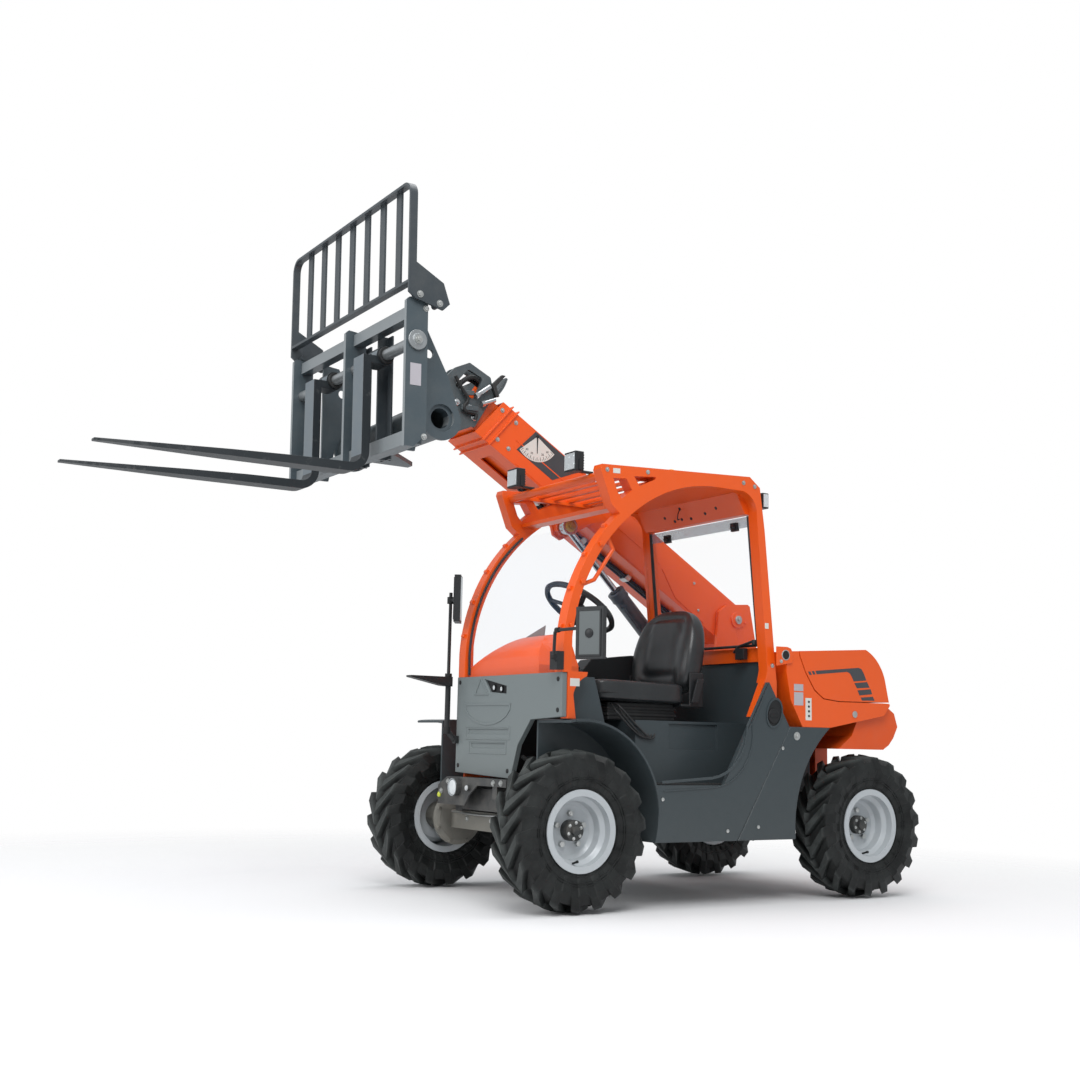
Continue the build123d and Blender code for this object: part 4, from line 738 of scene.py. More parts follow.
dress("rear_valance", "chassis", orange, 0.005)
VALANCE_X = 0.686
white_film = enamel("white_film", srgb(214, 214, 208), 0.35, 0.0, 0.1, 0.2)
grey_film = enamel("grey_film", srgb(176, 172, 178), 0.4, 0.0, 0.1, 0.1)
for name, y0, y1, z0, z1, film in (
    ("sticker_top", 0.346, 0.404, 0.967, 0.999, grey_film),
    ("sticker_middle", 0.346, 0.404, 0.9, 0.961, grey_film),
    ("sticker_low", 0.418, 0.456, 0.832, 0.936, white_film),
):
    work = bmesh.new()
    block(work, (VALANCE_X, VALANCE_X + 0.0008), (y0, y1), (z0, z1))
    piece(name, work, film)
dots = bmesh.new()
for z in (0.852, 0.874, 0.896, 0.918):
    turned(dots, (VALANCE_X + 0.0007, 0.439, z), LEFT, [(0, 0.006), (0.0008, 0.006)], 16)
piece("sticker_dots", dots, deep_black)
stud = bmesh.new()
turned(stud, (VALANCE_X, 0.738, 0.868), LEFT, [(-0.001, 0.016), (0.003, 0.016), (0.006, 0.011), (0.007, 0.004)], 28)
piece("valance_stud", stud, zinc)
latch = bmesh.new()
outline = [(0.232, 1.078), (0.232, 1.168), (0.299, 1.169), (0.322, 1.162), (0.33, 1.145), (0.33, 1.096)]
LATCH_X0, LATCH_X1 = 0.6885, 0.6955
HOLE_AT = (LATCH_X1, 0.287, 1.13)
side_plate(latch, LATCH_X0, outline, LATCH_X1 - LATCH_X0)
piece("latch_plate", latch, orange, 0.002)
# Painted shade: a thin black disc stands for the dark inside of the latch's hole.
dark = bmesh.new()
turned(dark, HOLE_AT, LEFT, [(-0.001, 0.02), (0.0006, 0.02)], 28)
piece("latch_hole_shade", dark, deep_black)
rings = bmesh.new()
turned(rings, HOLE_AT, LEFT, [(0, 0.02), (0.002, 0.0205), (0.002, 0.024), (0, 0.025)], 28, True)
bolt(rings, (LATCH_X1, 0.258, 1.1), LEFT, 0.006)
piece("latch_ring", rings, zinc)

# ------------------------------------------------------------------ hood
# Rear lid of moulded orange sheet on two straps, with slate film stripes on each side: two slanted ticks, a band
# that bends down at the back and three slanted blocks. Black vents lie in its top and a catch holds it behind.

dress("hood", "hood_lid", orange, 0.01, segments=3)
dark_film = enamel("dark_film", srgb(62, 64, 68), 0.35, 0.0, 0.05, 0.2)
TICKS = (
    ((0.435, 1.061), (0.451, 1.061), (0.46, 1.046), (0.445, 1.045)),
    ((0.459, 1.063), (0.474, 1.065), (0.483, 1.049), (0.469, 1.047)),
)
BAND_TOP = ((0.483, 1.066), (0.63, 1.08), (0.767, 1.093), (0.787, 1.088), (0.802, 1.068), (0.82, 1.034))
BAND_LOW = ((0.491, 1.05), (0.63, 1.064), (0.69, 1.07), (0.708, 1.064), (0.72, 1.05), (0.734, 1.026))
BLOCKS = (
    ((0.738, 1.018), (0.824, 1.027), (0.841, 1.0), (0.755, 0.994)),
    ((0.759, 0.984), (0.847, 0.993), (0.858, 0.969), (0.771, 0.96)),
    ((0.779, 0.95), (0.862, 0.957), (0.874, 0.938), (0.789, 0.936)),
)
stripes = bmesh.new()
for x, out in ((0.686, 1), (-0.225, -1)):
    for mark in (*TICKS, *zip(BAND_TOP, BAND_TOP[1:], BAND_LOW[1:], BAND_LOW), *BLOCKS):
        side_plate(stripes, x - 0.0003 * out, mark, 0.001 * out)
piece("hood_stripes", stripes, dark_film, body="hood_lid")
catch = bmesh.new()
plank(catch, (0.17, 0.29), (0.9475, 1.02), (0.941, 1.055), (0, 0.012, 0.003))
piece("hood_catch", catch, black_plastic, 0.003, body="hood_lid")
grille = bmesh.new()
for k in range(7):
    x = -0.08 + k * 0.09
    plank(grille, (x, x + 0.055), (0.52, 1.1645), (0.7, 1.1765), (0, 0, 0.0008))
piece("hood_vents", grille, deep_black, body="hood_lid")

# ------------------------------------------------------------------ boom tower
# Welded pedestal with two cheeks in orange enamel. The boom's pin sits in bosses on both sides, held by a keeper
# plate with a bolt, and the lift cylinder's lower pin has its own washer.

dress("boom_tower", "chassis", orange, 0.005)
BOOM_PIN = Vector((0, 0.862, 1.394))
pins = bmesh.new()
for x, out in ((-0.307, 1), (-0.663, -1)):
    button(pins, (x, BOOM_PIN.y, BOOM_PIN.z), (out, 0, 0), 0.023, 0.004, 0.006, 0.02, 36)
    bolt(pins, (x + 0.005 * out, BOOM_PIN.y, BOOM_PIN.z), (out, 0, 0), 0.009)
button(pins, (-0.26, 0.56, 0.946), LEFT, 0.026, 0.004, 0.006, 0.014, 32)
bolt(pins, (-0.255, 0.56, 0.946), LEFT, 0.008)
piece("tower_pins", pins, zinc)
keeper = bmesh.new()
for x, out in ((-0.3205, 1), (-0.6495, -1)):
    side_plate(keeper, x, ((0.902, 1.356), (0.93, 1.384), (0.916, 1.398), (0.888, 1.37)), 0.005 * out)
    bolt(keeper, (x + 0.005 * out, 0.914, 1.381), (out, 0, 0), 0.006)
piece("tower_keepers", keeper, orange)
tower_bolts = bmesh.new()
for y, z in ((0.72, 0.7), (0.72, 0.56), (0.88, 0.7), (0.88, 0.56)):
    bolt(tower_bolts, (-0.3, y, z), RIGHT, 0.012)
piece("tower_bolts", tower_bolts, zinc)

# ------------------------------------------------------------------ cab frame
# Two laser-cut side plates bent to a front arc and joined by a slatted roof, all in orange enamel, with small
# lugs, bolts, three blank plates and the lamps' wires. The right wall is lined in black; rubber seals the glass.

for node in ("cab_left_frame", "cab_right_frame", "roof_frame"):
    dress(node, "chassis", orange, 0.006, segments=3)
CAB_LEFT, CAB_RIGHT = 0.66, -0.235
ARC = bow((-0.935, 1.11), (-0.85, 1.44), (-0.65, 1.705), 24)
lugs = bmesh.new()
for x0, x1 in ((CAB_RIGHT + 0.018, CAB_RIGHT + 0.042), (CAB_LEFT - 0.042, CAB_LEFT - 0.018)):
    for k in (3, 9, 15, 21):
        spot, ahead = Vector(ARC[k]), Vector(ARC[k + 1])
        way = (ahead - spot).normalized()
        out = Vector((-way.y, way.x))
        base = [spot - way * 0.011 - out * 0.003, spot + way * 0.011 - out * 0.003]
        tip = [spot + way * 0.007 + out * 0.012, spot - way * 0.007 + out * 0.012]
        side_plate(lugs, x0, (*base, *tip), x1 - x0)
for y, z in ((ARC[k][0] + 0.024, ARC[k][1] - 0.008) for k in (3, 10, 17)):
    side_plate(lugs, CAB_LEFT, [(y, z), (y + 0.016, z + 0.008), (y + 0.009, z + 0.024), (y - 0.007, z + 0.016)], 0.01)
piece("arc_lugs", lugs, orange, 0.0015)
lining = bmesh.new()
block(lining, (-0.2032, -0.2002), (-0.87, 0.13), (0.55, 0.985))
piece("cab_wall_lining", lining, deep_black, 0.001)
fixings = bmesh.new()
for y, z in ((-0.722, 1.892), (0.128, 1.915), (0.06, 1.925), (-0.5, 1.907), (0.235, 1.08), (0.21, 0.9)):
    bolt(fixings, (CAB_LEFT, y, z), LEFT, 0.007)
for y, z in ((-0.722, 1.892), (0.128, 1.915), (-0.5, 1.907), (0.235, 1.08)):
    bolt(fixings, (CAB_RIGHT, y, z), RIGHT, 0.007)
piece("cab_bolts", fixings, zinc)
plates = bmesh.new()
side_plate(plates, CAB_LEFT, [(-0.69, 1.88), (-0.652, 1.882), (-0.652, 1.904), (-0.69, 1.902)], 0.001)
block(plates, (CAB_LEFT, CAB_LEFT + 0.001), (-0.898, -0.85), (0.941, 0.974))
block(plates, (CAB_LEFT, CAB_LEFT + 0.001), (0.19, 0.212), (1.25, 1.276))
piece("cab_blank_plates", plates, white_film)
# Painted shade: thin black discs stand for the dark insides of the roof box's holes.
holes = bmesh.new()
for x, z in (
    (0.159, 1.869), (0.144, 1.82), (0.087, 1.817), (0.215, 1.816), (0.02, 1.84), (0.42, 1.84), (0.33, 1.826),
):
    y = 0.06 + (1.9 - z) / 0.11 * 0.06
    turned(holes, (x, y, z), (0, -0.878, -0.479), [(-0.001, 0.008), (0.0012, 0.008)], 20)
piece("roof_box_hole_shade", holes, deep_black)
wires = bmesh.new()
hose(wires, [(0.16, 0.078, 1.868), (0.168, 0.06, 1.84), (0.15, 0.072, 1.816), (0.144, 0.088, 1.82)], 0.0028, 8)
hose(wires, [(0.5, -0.7, 1.902), (0.52, -0.69, 1.87), (0.56, -0.66, 1.88), (0.602, -0.655, 1.872)], 0.0035, 8)
hose(wires, [(0.01, -0.7, 1.902), (-0.02, -0.688, 1.868), (-0.08, -0.66, 1.878), (-0.172, -0.655, 1.872)], 0.0035, 8)
piece("lamp_wires", wires, deep_black)
seal = bmesh.new()
for x in (-0.168, 0.593):
    hose(seal, [(x, 0.146, 1.785), (x, 0.176, 1.48), (x, 0.206, 1.18)], 0.008, 10)
hose(seal, [(-0.168, 0.206, 1.176), (0.2, 0.206, 1.176), (0.593, 0.206, 1.176)], 0.007, 10)
for x in (-0.169, 0.594):
    inner = bow((-0.915, 1.112), (-0.834, 1.432), (-0.636, 1.688), 10)
    hose(seal, [(x, *p) for p in [(-0.915, 1.01), (-0.915, 1.06), *inner]], 0.006, 10, 3)
piece("glass_seals", seal, mat_rubber)

# ------------------------------------------------------------------ glass
# Curved windscreen, right side pane and rear window of thin clear glass. The rear window has a blue-grey band
# along its top, two black clamps and a hand latch at its lower left.

pane = clear("clear_pane", srgb(110, 156, 205), 0.022, 0.02)
dress("cab_glass", "chassis", pane, 0.001)
tinted = clear("tinted_pane", srgb(122, 146, 164), 0.45, 0.04)
band = bmesh.new()
plank(band, (-0.16, 0.586), (0.1465, 1.783), (0.1515, 1.733), (0, -0.001, 0))
piece("window_band", band, tinted)
clamps = bmesh.new()
for x in (-0.02, 0.5):
    plank(clamps, (x - 0.024, x + 0.024), (0.132, 1.762), (0.138, 1.722), (0, 0.014, 0))
    turned(clamps, (x, 0.134, 1.74), AHEAD, [(0, 0.013), (0.012, 0.011), (0.014, 0.006)], 20)
hose(clamps, [(0.42, 0.208, 1.15), (0.47, 0.192, 1.172), (0.52, 0.188, 1.182), (0.575, 0.196, 1.196)], 0.007, 10)
block(clamps, (0.455, 0.515), (0.184, 0.21), (1.112, 1.166))
turned(clamps, (0.578, 0.196, 1.19), UP, [(-0.012, 0.01), (0.0, 0.013), (0.012, 0.01)], 16)
piece("window_clamps", clamps, black_plastic, 0.0015)

# ------------------------------------------------------------------ scuttle, steering and controls
# Orange scuttle cover over the steering column, the black wheel with its knob, a blank sign plate, two round
# gauges and two pedals. The joystick and the drive lever stand in folded boots.

dress("dash_cover", "chassis", orange, 0.005)
dress("steering_wheel", "chassis", black_plastic, 0.004)
dress("seat_base", "chassis", black_plastic, 0.004)
WHEEL_C = Vector((0.205, -0.548, 1.328))
LEAN = math.radians(35)
wheel_up = Vector((0, math.sin(LEAN), math.cos(LEAN)))
wheel_back = Vector((0, math.cos(LEAN), -math.sin(LEAN)))
controls = bmesh.new()
KNOB_TURN, RING_R = math.radians(-56), 0.172
spot = WHEEL_C + Vector((RING_R * math.cos(KNOB_TURN), 0, 0)) + wheel_back * RING_R * math.sin(KNOB_TURN)
pin(controls, spot, spot + wheel_up * 0.03, 0.006, 16)
knob = [(0.026, 0.01), (0.034, 0.019), (0.046, 0.022), (0.058, 0.018), (0.064, 0.008)]
turned(controls, spot, wheel_up, knob, 28)
turned(controls, WHEEL_C, wheel_up, [(0.004, 0.031), (0.01, 0.03), (0.014, 0.024), (0.015, 0.006)], 36)
STICK = Vector((-0.095, -0.215, 1.118))
boot = [
    (0.0, 0.034), (0.006, 0.034), (0.01, 0.027), (0.016, 0.03), (0.021, 0.022), (0.027, 0.025), (0.033, 0.014),
    (0.05, 0.01),
]
turned(controls, STICK, (0, -0.12, 1), boot, 28)
pin(controls, STICK + Vector((0, -0.005, 0.04)), STICK + Vector((0, -0.012, 0.095)), 0.007, 16)
grip = [(0.085, 0.012), (0.1, 0.02), (0.135, 0.022), (0.165, 0.024), (0.18, 0.02), (0.186, 0.008)]
turned(controls, STICK, (0, -0.12, 1), grip, 28)
LEVER = Vector((0.35, -0.56, 0.99))
fold = [
    (0.0, 0.046), (0.01, 0.04), (0.018, 0.044), (0.03, 0.034), (0.038, 0.038), (0.05, 0.026), (0.058, 0.03),
    (0.072, 0.016), (0.08, 0.012),
]
block(controls, (0.318, 0.4), (-0.64, -0.72), (0.985, 0.997))
turned(controls, LEVER + Vector((0.01, -0.118, 0.005)), (0.0, -0.25, 1), fold, 32)
pin(controls, LEVER + Vector((0.01, -0.136, 0.075)), LEVER + Vector((0.01, -0.168, 0.19)), 0.007, 16)
turned(
    controls, LEVER + Vector((0.01, -0.168, 0.185)), (0.0, -0.25, 1),
    [(0.0, 0.009), (0.012, 0.017), (0.03, 0.019), (0.042, 0.012), (0.045, 0.004)], 24,
)
piece("controls", controls, black_plastic, 0.001)
pedals = bmesh.new()
for x in (0.285, 0.1):
    plank(pedals, (x - 0.035, x + 0.035), (-0.8, 0.56), (-0.845, 0.64), (0, -0.008, -0.004))
    pin(pedals, (x, -0.83, 0.605), (x, -0.895, 0.64), 0.009, 14)
    for k in range(5):
        y, z = -0.803 - 0.0085 * k, 0.567 + 0.0152 * k
        plank(pedals, (x - 0.03, x + 0.03), (y, z), (y - 0.003, z + 0.006), (0, 0.004, 0.003))
piece("pedals", pedals, mat_rubber)
sign = bmesh.new()
slab(
    sign, [(-0.08, -0.6985, 1.128), (0.14, -0.6985, 1.19), (0.14, -0.6925, 1.24), (-0.08, -0.6925, 1.178)],
    (0, 0.003, 0),
)
piece("blank_sign", sign, enamel("sign_grey", srgb(134, 126, 122), 0.45, 0.0, 0.2, 0.1))
gauge = bmesh.new()
ring = bmesh.new()
for x, z in ((0.16, 1.163), (0.25, 1.165)):
    hoop(ring, (x, -0.6995, z), REAR, 0, 0.006, 0.024, 0.021, 32)
    turned(gauge, (x, -0.6995, z), REAR, [(0, 0.021), (0.003, 0.021)], 32)
piece("gauge_rings", ring, black_plastic)
piece("gauge_faces", gauge, white_film)

# ------------------------------------------------------------------ seat
# Black vinyl pads over foam: a cushion with raised sides and a welt, and a back that narrows to a rounded top,
# both with a sewn inner panel. They sit on the black seat frame, with bellows below and two belt stalks.


def vinyl(name, tone):
    """Grained seat vinyl, shinier where it is sat on."""
    finish = Finish(name, Specular_IOR_Level=0.5)
    worn = finish.ramp(finish.noise(6.0, 4.0), (0.4, 0.0), (0.75, 1.0))
    finish.feed("Base Color", finish.between(worn * 0.5, tone, shade(tone, 0.2, srgb(110, 112, 112))))
    finish.feed("Roughness", 0.36 - worn * 0.08)
    finish.bump(finish.noise(380.0, 2.0) + finish.noise(14.0, 3.0) * 1.2, 0.25, 0.0012)
    return finish.material


seat_vinyl = vinyl("seat_vinyl", srgb(34, 37, 39))


def cushion(name, node, centre, across, along, up, half, shape, square=9):
    """Stuffed pad: a rounded block on its own three axes, then moved by shape(a, b, c) in its half sizes. A higher
    square gives sharper corners."""
    work = bmesh.new()
    bmesh.ops.create_cube(work, size=2.0)
    bmesh.ops.subdivide_edges(work, edges=work.edges[:], cuts=15, use_grid_fill=True)
    for vert in work.verts:
        a, b, c = vert.co
        reach = (abs(a) ** square + abs(b) ** square + abs(c) ** square) ** (1 / square)
        a, b, c = (p / reach for p in (a, b, c))
        a, b, c = shape(a, b, c)
        spot = Vector(across) * a * half[0] + Vector(along) * b * half[1] + Vector(up) * c * half[2]
        vert.co = Vector(centre) + spot
    pad = piece(name, work, seat_vinyl, angle=80.0)
    smooth = pad.modifiers.new("foam", "SUBSURF")
    smooth.levels = 1
    smooth.render_levels = 2
    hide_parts(node)
    return pad


SEAM_WIDTH = 0.045


def groove(value, lines):
    """How deep a sewn seam pulls the cover in, from 0 to 1, near any of the lines."""
    return max(max(0.0, 1 - abs(value - line) / SEAM_WIDTH) ** 1.5 for line in lines)


def seat_shape(a, b, c):
    """Cushion: sides and front edge stand up around the sewn panel. +b runs to the rear."""
    if c > 0:
        side = min(1.0, max(0.0, (abs(a) - 0.55) / 0.25))
        front = min(1.0, max(0.0, (-b - 0.55) / 0.35))
        rise = 0.3 * max(side, front * 0.8) - 0.22
        panel = abs(a) < 0.6 and -0.75 < b
        seam = max(groove(abs(a), (0.6,)) if b > -0.8 else 0.0, groove(b, (-0.78, -0.3, 0.15)) if panel else 0.0)
        c = c + (rise - 0.2 * seam) * min(1.0, c * 1.6)
    a = a * (1 - 0.05 * max(0.0, -b) ** 2)
    return a, b, c


def back_shape(a, b, c):
    """Back: narrower and rounder towards its top, with wings beside the panel. +b runs up, +c to the front."""
    a = a * (1 - 0.26 * max(0.0, (b + 0.2) / 1.2) ** 2.0)
    if c > 0:
        side = min(1.0, max(0.0, (abs(a) - 0.5) / 0.25))
        panel = abs(a) < 0.54
        seam = max(groove(abs(a), (0.54,)) if b < 0.8 else 0.0, groove(b, (0.78, 0.3, -0.6)) if panel else 0.0)
        raised = 0.1 if abs(a) < 0.46 and -0.52 < b < 0.72 else 0.0
        upper = max(0.0, b)
        rise = 0.34 * side * (1 - 0.5 * upper) - 0.22 + raised
        c = c * (1.0 - 0.25 * upper) + (rise - 0.16 * seam) * min(1.0, c * 1.6)
    return a, b, c


cushion(
    "seat_cushion_pad", "seat_cushion", (0.205, -0.343, 0.94), LEFT, (0, 1, -0.02), UP, (0.238, 0.252, 0.047),
    seat_shape,
)
back_way = Vector((0, 0.17, 1.0)).normalized()
back_front = Vector((0, -1.0, 0.17)).normalized()
cushion(
    "seat_back_pad", "seat_back", (0.205, -0.02, 1.145), LEFT, back_way, back_front, (0.232, 0.204, 0.062),
    back_shape, 4,
)
welt = bmesh.new()
rows = [
    (0.205 + 0.232 * a, -0.343 + 0.246 * b, 0.934)
    for a, b in ((-0.98, -0.8), (-0.8, -0.985), (0.8, -0.985), (0.98, -0.8), (0.985, 0.85))
]
hose(welt, rows, 0.004, 8)
piece("seat_welt", welt, mat_rubber)
belt = bmesh.new()
for x in (-0.045, 0.455):
    plank(belt, (x, x + 0.01), (-0.085, 0.9), (-0.05, 1.01), (0, 0.04, 0.0))
piece("belt_stalks", belt, black_plastic, 0.002)
bellows = bmesh.new()
for k in range(5):
    z = 0.818 + k * 0.0145
    grow = 0.006 if k % 2 else 0.0
    low = [
        (0.205 + a * (0.172 + grow), -0.31 + b * (0.192 + grow), z)
        for a, b in ((-1, -1), (1, -1), (1, 1), (-1, 1))
    ]
    slab(bellows, low, (0, 0, 0.0115))
piece("seat_bellows", bellows, mat_rubber, 0.002)

# ------------------------------------------------------------------ work lamps, beacon and mirrors
# Black die-cast lamps with clear lenses, an amber dome on a black foot, and moulded mirrors on bent steel arms,
# silvered to the rear, with a grey panel and a round boss in front.

lamp_cast = moulded("lamp_cast", srgb(36, 38, 40), 0.4, 0.05)
dress("work_lamps", "chassis", lamp_cast, 0.004, flat=0.0)
dress("mirrors", "chassis", black_plastic, 0.006, segments=3)
WORK_LAMPS = (0.5, 0.01)
reflector = bmesh.new()
lens = bmesh.new()
for x in WORK_LAMPS:
    for work, thick in ((reflector, 0.001), (lens, 0.004)):
        block(work, (x - 0.038, x + 0.038), (-0.8122, -0.8122 - thick), (1.904, 1.976))
    for a in (-0.019, 0.019):
        for b in (-0.017, 0.017):
            button(reflector, (x + a, -0.813, 1.94 + b), AHEAD, 0.014, 0.0022, 0.0005, 0.005, low=0)
block(lens, (0.6302, 0.6332), (0.21, 0.238), (1.832, 1.894))
block(reflector, (0.576, 0.624), (0.2432, 0.2452), (1.832, 1.894))
piece("lamp_reflectors", reflector, mirror_coat)
piece("lamp_lenses", lens, lens_glass)
lamp_fins = bmesh.new()
for x in WORK_LAMPS:
    for k in range(6):
        z = 1.908 + k * 0.012
        block(lamp_fins, (x - 0.036, x + 0.036), (-0.768, -0.76), (z, z + 0.005))
    for side in (-1, 1):
        block(lamp_fins, (x + side * 0.047, x + side * 0.047 + side * 0.003), (-0.795, -0.781), (1.9, 1.95))
piece("lamp_fins", lamp_fins, lamp_cast)
dome = bmesh.new()
BEACON = (0.065, 0.095, 1.958)
rows = [(0.0, 0.036), (0.01, 0.0375)]
for k in range(8):
    rows += [(0.014 + 0.011 * k, 0.0335 - 0.0006 * k), (0.0185 + 0.011 * k, 0.032 - 0.0006 * k)]
rows += [(0.108, 0.029), (0.118, 0.024), (0.126, 0.014), (0.129, 0.004)]
turned(dome, BEACON, UP, rows, 40)
shell = piece("beacon_dome", dome, amber_lens, angle=50.0)
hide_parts("beacon")
foot = bmesh.new()
turned(
    foot, (0.065, 0.095, 1.915), UP,
    [(0, 0.038), (0.006, 0.038), (0.012, 0.033), (0.03, 0.033), (0.036, 0.0375), (0.043, 0.0375)], 40,
)
piece("beacon_foot", foot, black_plastic)
MIRRORS = ((0.935, -0.985, 1.145, 23, 0.098, 0.0132), (-0.165, -0.989, 1.363, -33, 0.102, 0.0152))
silver, shells, rims = bmesh.new(), bmesh.new(), bmesh.new()
for x, y, z, turn, high, thick in MIRRORS:
    side_way = Vector((math.cos(math.radians(turn)), math.sin(math.radians(turn)), 0))
    back_way, front_way = Vector((-side_way.y, side_way.x, 0)), Vector((side_way.y, -side_way.x, 0))

    def sheet(work, a, b, low, top, way, depth):
        """Rectangle from a to b across the mirror, standing on its face that looks along the way."""
        face = Vector((x, y, z)) + way * thick
        corners = ((a, low), (b, low), (b, top), (a, top))
        slab(work, [face + side_way * p + Vector((0, 0, q)) for p, q in corners], way * depth)

    inside = high - 0.01
    sheet(silver, -0.057, 0.057, -high, high, back_way, 0.0012)
    sheet(shells, -0.05, 0.05, -inside, inside, front_way, 0.0008)
    for low, top in ((inside, high - 0.003), (0.003 - high, -inside)):
        sheet(rims, -0.056, 0.056, low, top, front_way, 0.003)
    for a, b in ((-0.056, -0.049), (0.049, 0.056)):
        sheet(rims, a, b, -inside, inside, front_way, 0.003)
    boss = Vector((x, y, z)) + front_way * thick + Vector((0, 0, -0.002))
    turned(rims, boss, front_way, [(-0.002, 0.02), (0.004, 0.019), (0.008, 0.011)], 28)
piece("mirror_faces", silver, mirror_coat)
piece("mirror_shell_panels", shells, moulded("mirror_grey", srgb(92, 98, 99), 0.42, 0.05))
piece("mirror_shell_rims", rims, black_plastic, 0.001)
collars = bmesh.new()
for spot in ((0.69, -0.985, 1.17), (0.664, -0.985, 1.06)):
    turned(collars, spot, LEFT, [(-0.012, 0.011), (0.012, 0.011)], 20)
for z in (0.75, 1.0, 1.363):
    turned(collars, (-0.243, -0.985, z), UP, [(-0.016, 0.0165), (0.016, 0.0165)], 24)
piece("mirror_collars", collars, deep_black, 0.001)

# ------------------------------------------------------------------ boom
# Welded box section in orange enamel with two collars at its mouth, weld seams, doubler plates at the pin and a
# slope dial on a dark strip on its left side. Two hoses run in clamps below it.

for node, body in (("boom_outer", "boom"), ("boom_inner", "boom_extension")):
    dress(node, body, orange, 0.004, flat=0.0 if node == "boom_inner" else 0.6)
BOOM_TURN = math.radians(31)
along = Vector((0, -math.cos(BOOM_TURN), math.sin(BOOM_TURN)))
square = Vector((0, math.sin(BOOM_TURN), math.cos(BOOM_TURN)))
BOOM_LEFT, BOOM_RIGHT, BOOM_TOP, BOOM_LOW = -0.345, -0.625, 0.082, -0.152


def on_boom(x, s, n):
    """Point at x, s metres along the boom from its pin and n metres square to it."""
    return Vector((x, BOOM_PIN.y, BOOM_PIN.z)) + along * s + square * n


def boom_plate(work, x, outline, thick):
    slab(work, [on_boom(x, s, n) for s, n in outline], (thick, 0, 0))


doubler = bmesh.new()
for x, out in ((BOOM_LEFT - 0.0003, 1), (BOOM_RIGHT + 0.0003, -1)):
    boom_plate(doubler, x, [(0.17, 0.06), (0.44, 0.046), (0.56, -0.05), (0.4, -0.135), (0.17, -0.138)], 0.0035 * out)
    for s0, s1, n in ((0.58, 1.66, -0.036), (0.62, 1.27, 0.07), (0.62, 1.6, -0.14)):
        boom_plate(doubler, x, [(s0, n - 0.003), (s1, n - 0.003), (s1, n + 0.003), (s0, n + 0.003)], 0.0022 * out)
piece("boom_plates", doubler, orange, 0.001, body="boom")
dial_strip = bmesh.new()
boom_plate(
    dial_strip, BOOM_LEFT, [(1.283, 0.076), (1.59, 0.076), (1.632, -0.076), (1.376, -0.076), (1.3, 0.02)], 0.0012,
)
piece("dial_strip", dial_strip, dark_film, body="boom")
DIAL = Vector((BOOM_LEFT + 0.0012, -0.453, 2.252))


def dial_way(degrees):
    """Direction from the dial's centre, turned from straight down to the rear."""
    return Vector((0, math.sin(math.radians(degrees)), -math.cos(math.radians(degrees))))


fan = bmesh.new()
slab(fan, [DIAL, *[DIAL + dial_way(-53 + 5.3 * k) * 0.132 for k in range(21)]], (0.001, 0, 0))
piece("dial_face", fan, white_film, body="boom")
marks = bmesh.new()
for k in range(-10, 11):
    way, flat = dial_way(k * 5), dial_way(k * 5 + 90)
    inner, half = (0.108, 0.0012) if k % 2 == 0 else (0.117, 0.0007)
    rows = (
        way * inner - flat * half, way * 0.127 - flat * half, way * 0.127 + flat * half, way * inner + flat * half,
    )
    slab(marks, [DIAL + Vector((0.0009, 0, 0)) + p for p in rows], (0.0006, 0, 0))
slab(
    marks,
    [DIAL + Vector((0.0022, *p)) for p in ((-0.004, 0.004), (0.004, 0.004), (0.0015, -0.088), (-0.0015, -0.088))],
    (0.0012, 0, 0),
)
button(marks, DIAL, LEFT, 0.008, 0.005, 0.006, 0.005, low=0.0)
piece("dial_marks", marks, deep_black, body="boom")


def number(text, spot, size, material, body):
    """Plain figures on the dial, lying on its face."""
    letters = bpy.data.curves.new("figures_" + text, "FONT")
    letters.body = text
    letters.size = size
    letters.align_x = "CENTER"
    letters.align_y = "CENTER"
    letters.extrude = 0.0003
    holder = placed("figures_" + text, letters)
    mesh = bpy.data.meshes.new_from_object(holder.evaluated_get(bpy.context.evaluated_depsgraph_get()))
    bpy.data.objects.remove(holder)
    mesh.materials.clear()
    mesh.materials.append(material)
    thing = placed("dial_figures_" + text, mesh)
    turn = Matrix(((0, 0, 1), (1, 0, 0), (0, 1, 0))).to_4x4()
    mesh.transform(Matrix.Translation(HOME + Vector(spot)) @ turn)
    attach(thing, body)


for k, text in ((-4, "40"), (-2, "20"), (2, "20"), (4, "40")):
    number(text, DIAL + Vector((0.0012, 0, 0)) + dial_way(k * 10) * 0.096, 0.016, deep_black, "boom")
boom_bolts = bmesh.new()
for x, out in ((BOOM_LEFT, 1), (BOOM_RIGHT, -1)):
    for s, n in ((1.806, 0.041), (1.708, 0.038), (1.748, -0.103), (1.672, -0.103), (0.24, -0.1), (0.34, 0.01)):
        bolt(boom_bolts, on_boom(x, s, n), (out, 0, 0), 0.008)
for x in (-0.415, -0.555):
    for s in (1.7, 1.64):
        bolt(boom_bolts, on_boom(x, s, BOOM_TOP), square, 0.008)
piece("boom_bolts", boom_bolts, zinc, body="boom")
boom_hoses = bmesh.new()
for x in (-0.47, -0.5):
    spots = [
        (0.18, -0.17), (0.26, -0.166), (0.6, -0.166), (1.0, -0.167), (1.38, -0.166), (1.47, -0.15), (1.52, -0.12),
    ]
    hose(boom_hoses, [on_boom(x, s, n) for s, n in spots], 0.0105, 12)
piece(
    "boom_hoses", boom_hoses, rubber("hose_rubber", srgb(26, 27, 29), srgb(70, 70, 68), 0.4),
    body="boom",
)
clamps = bmesh.new()
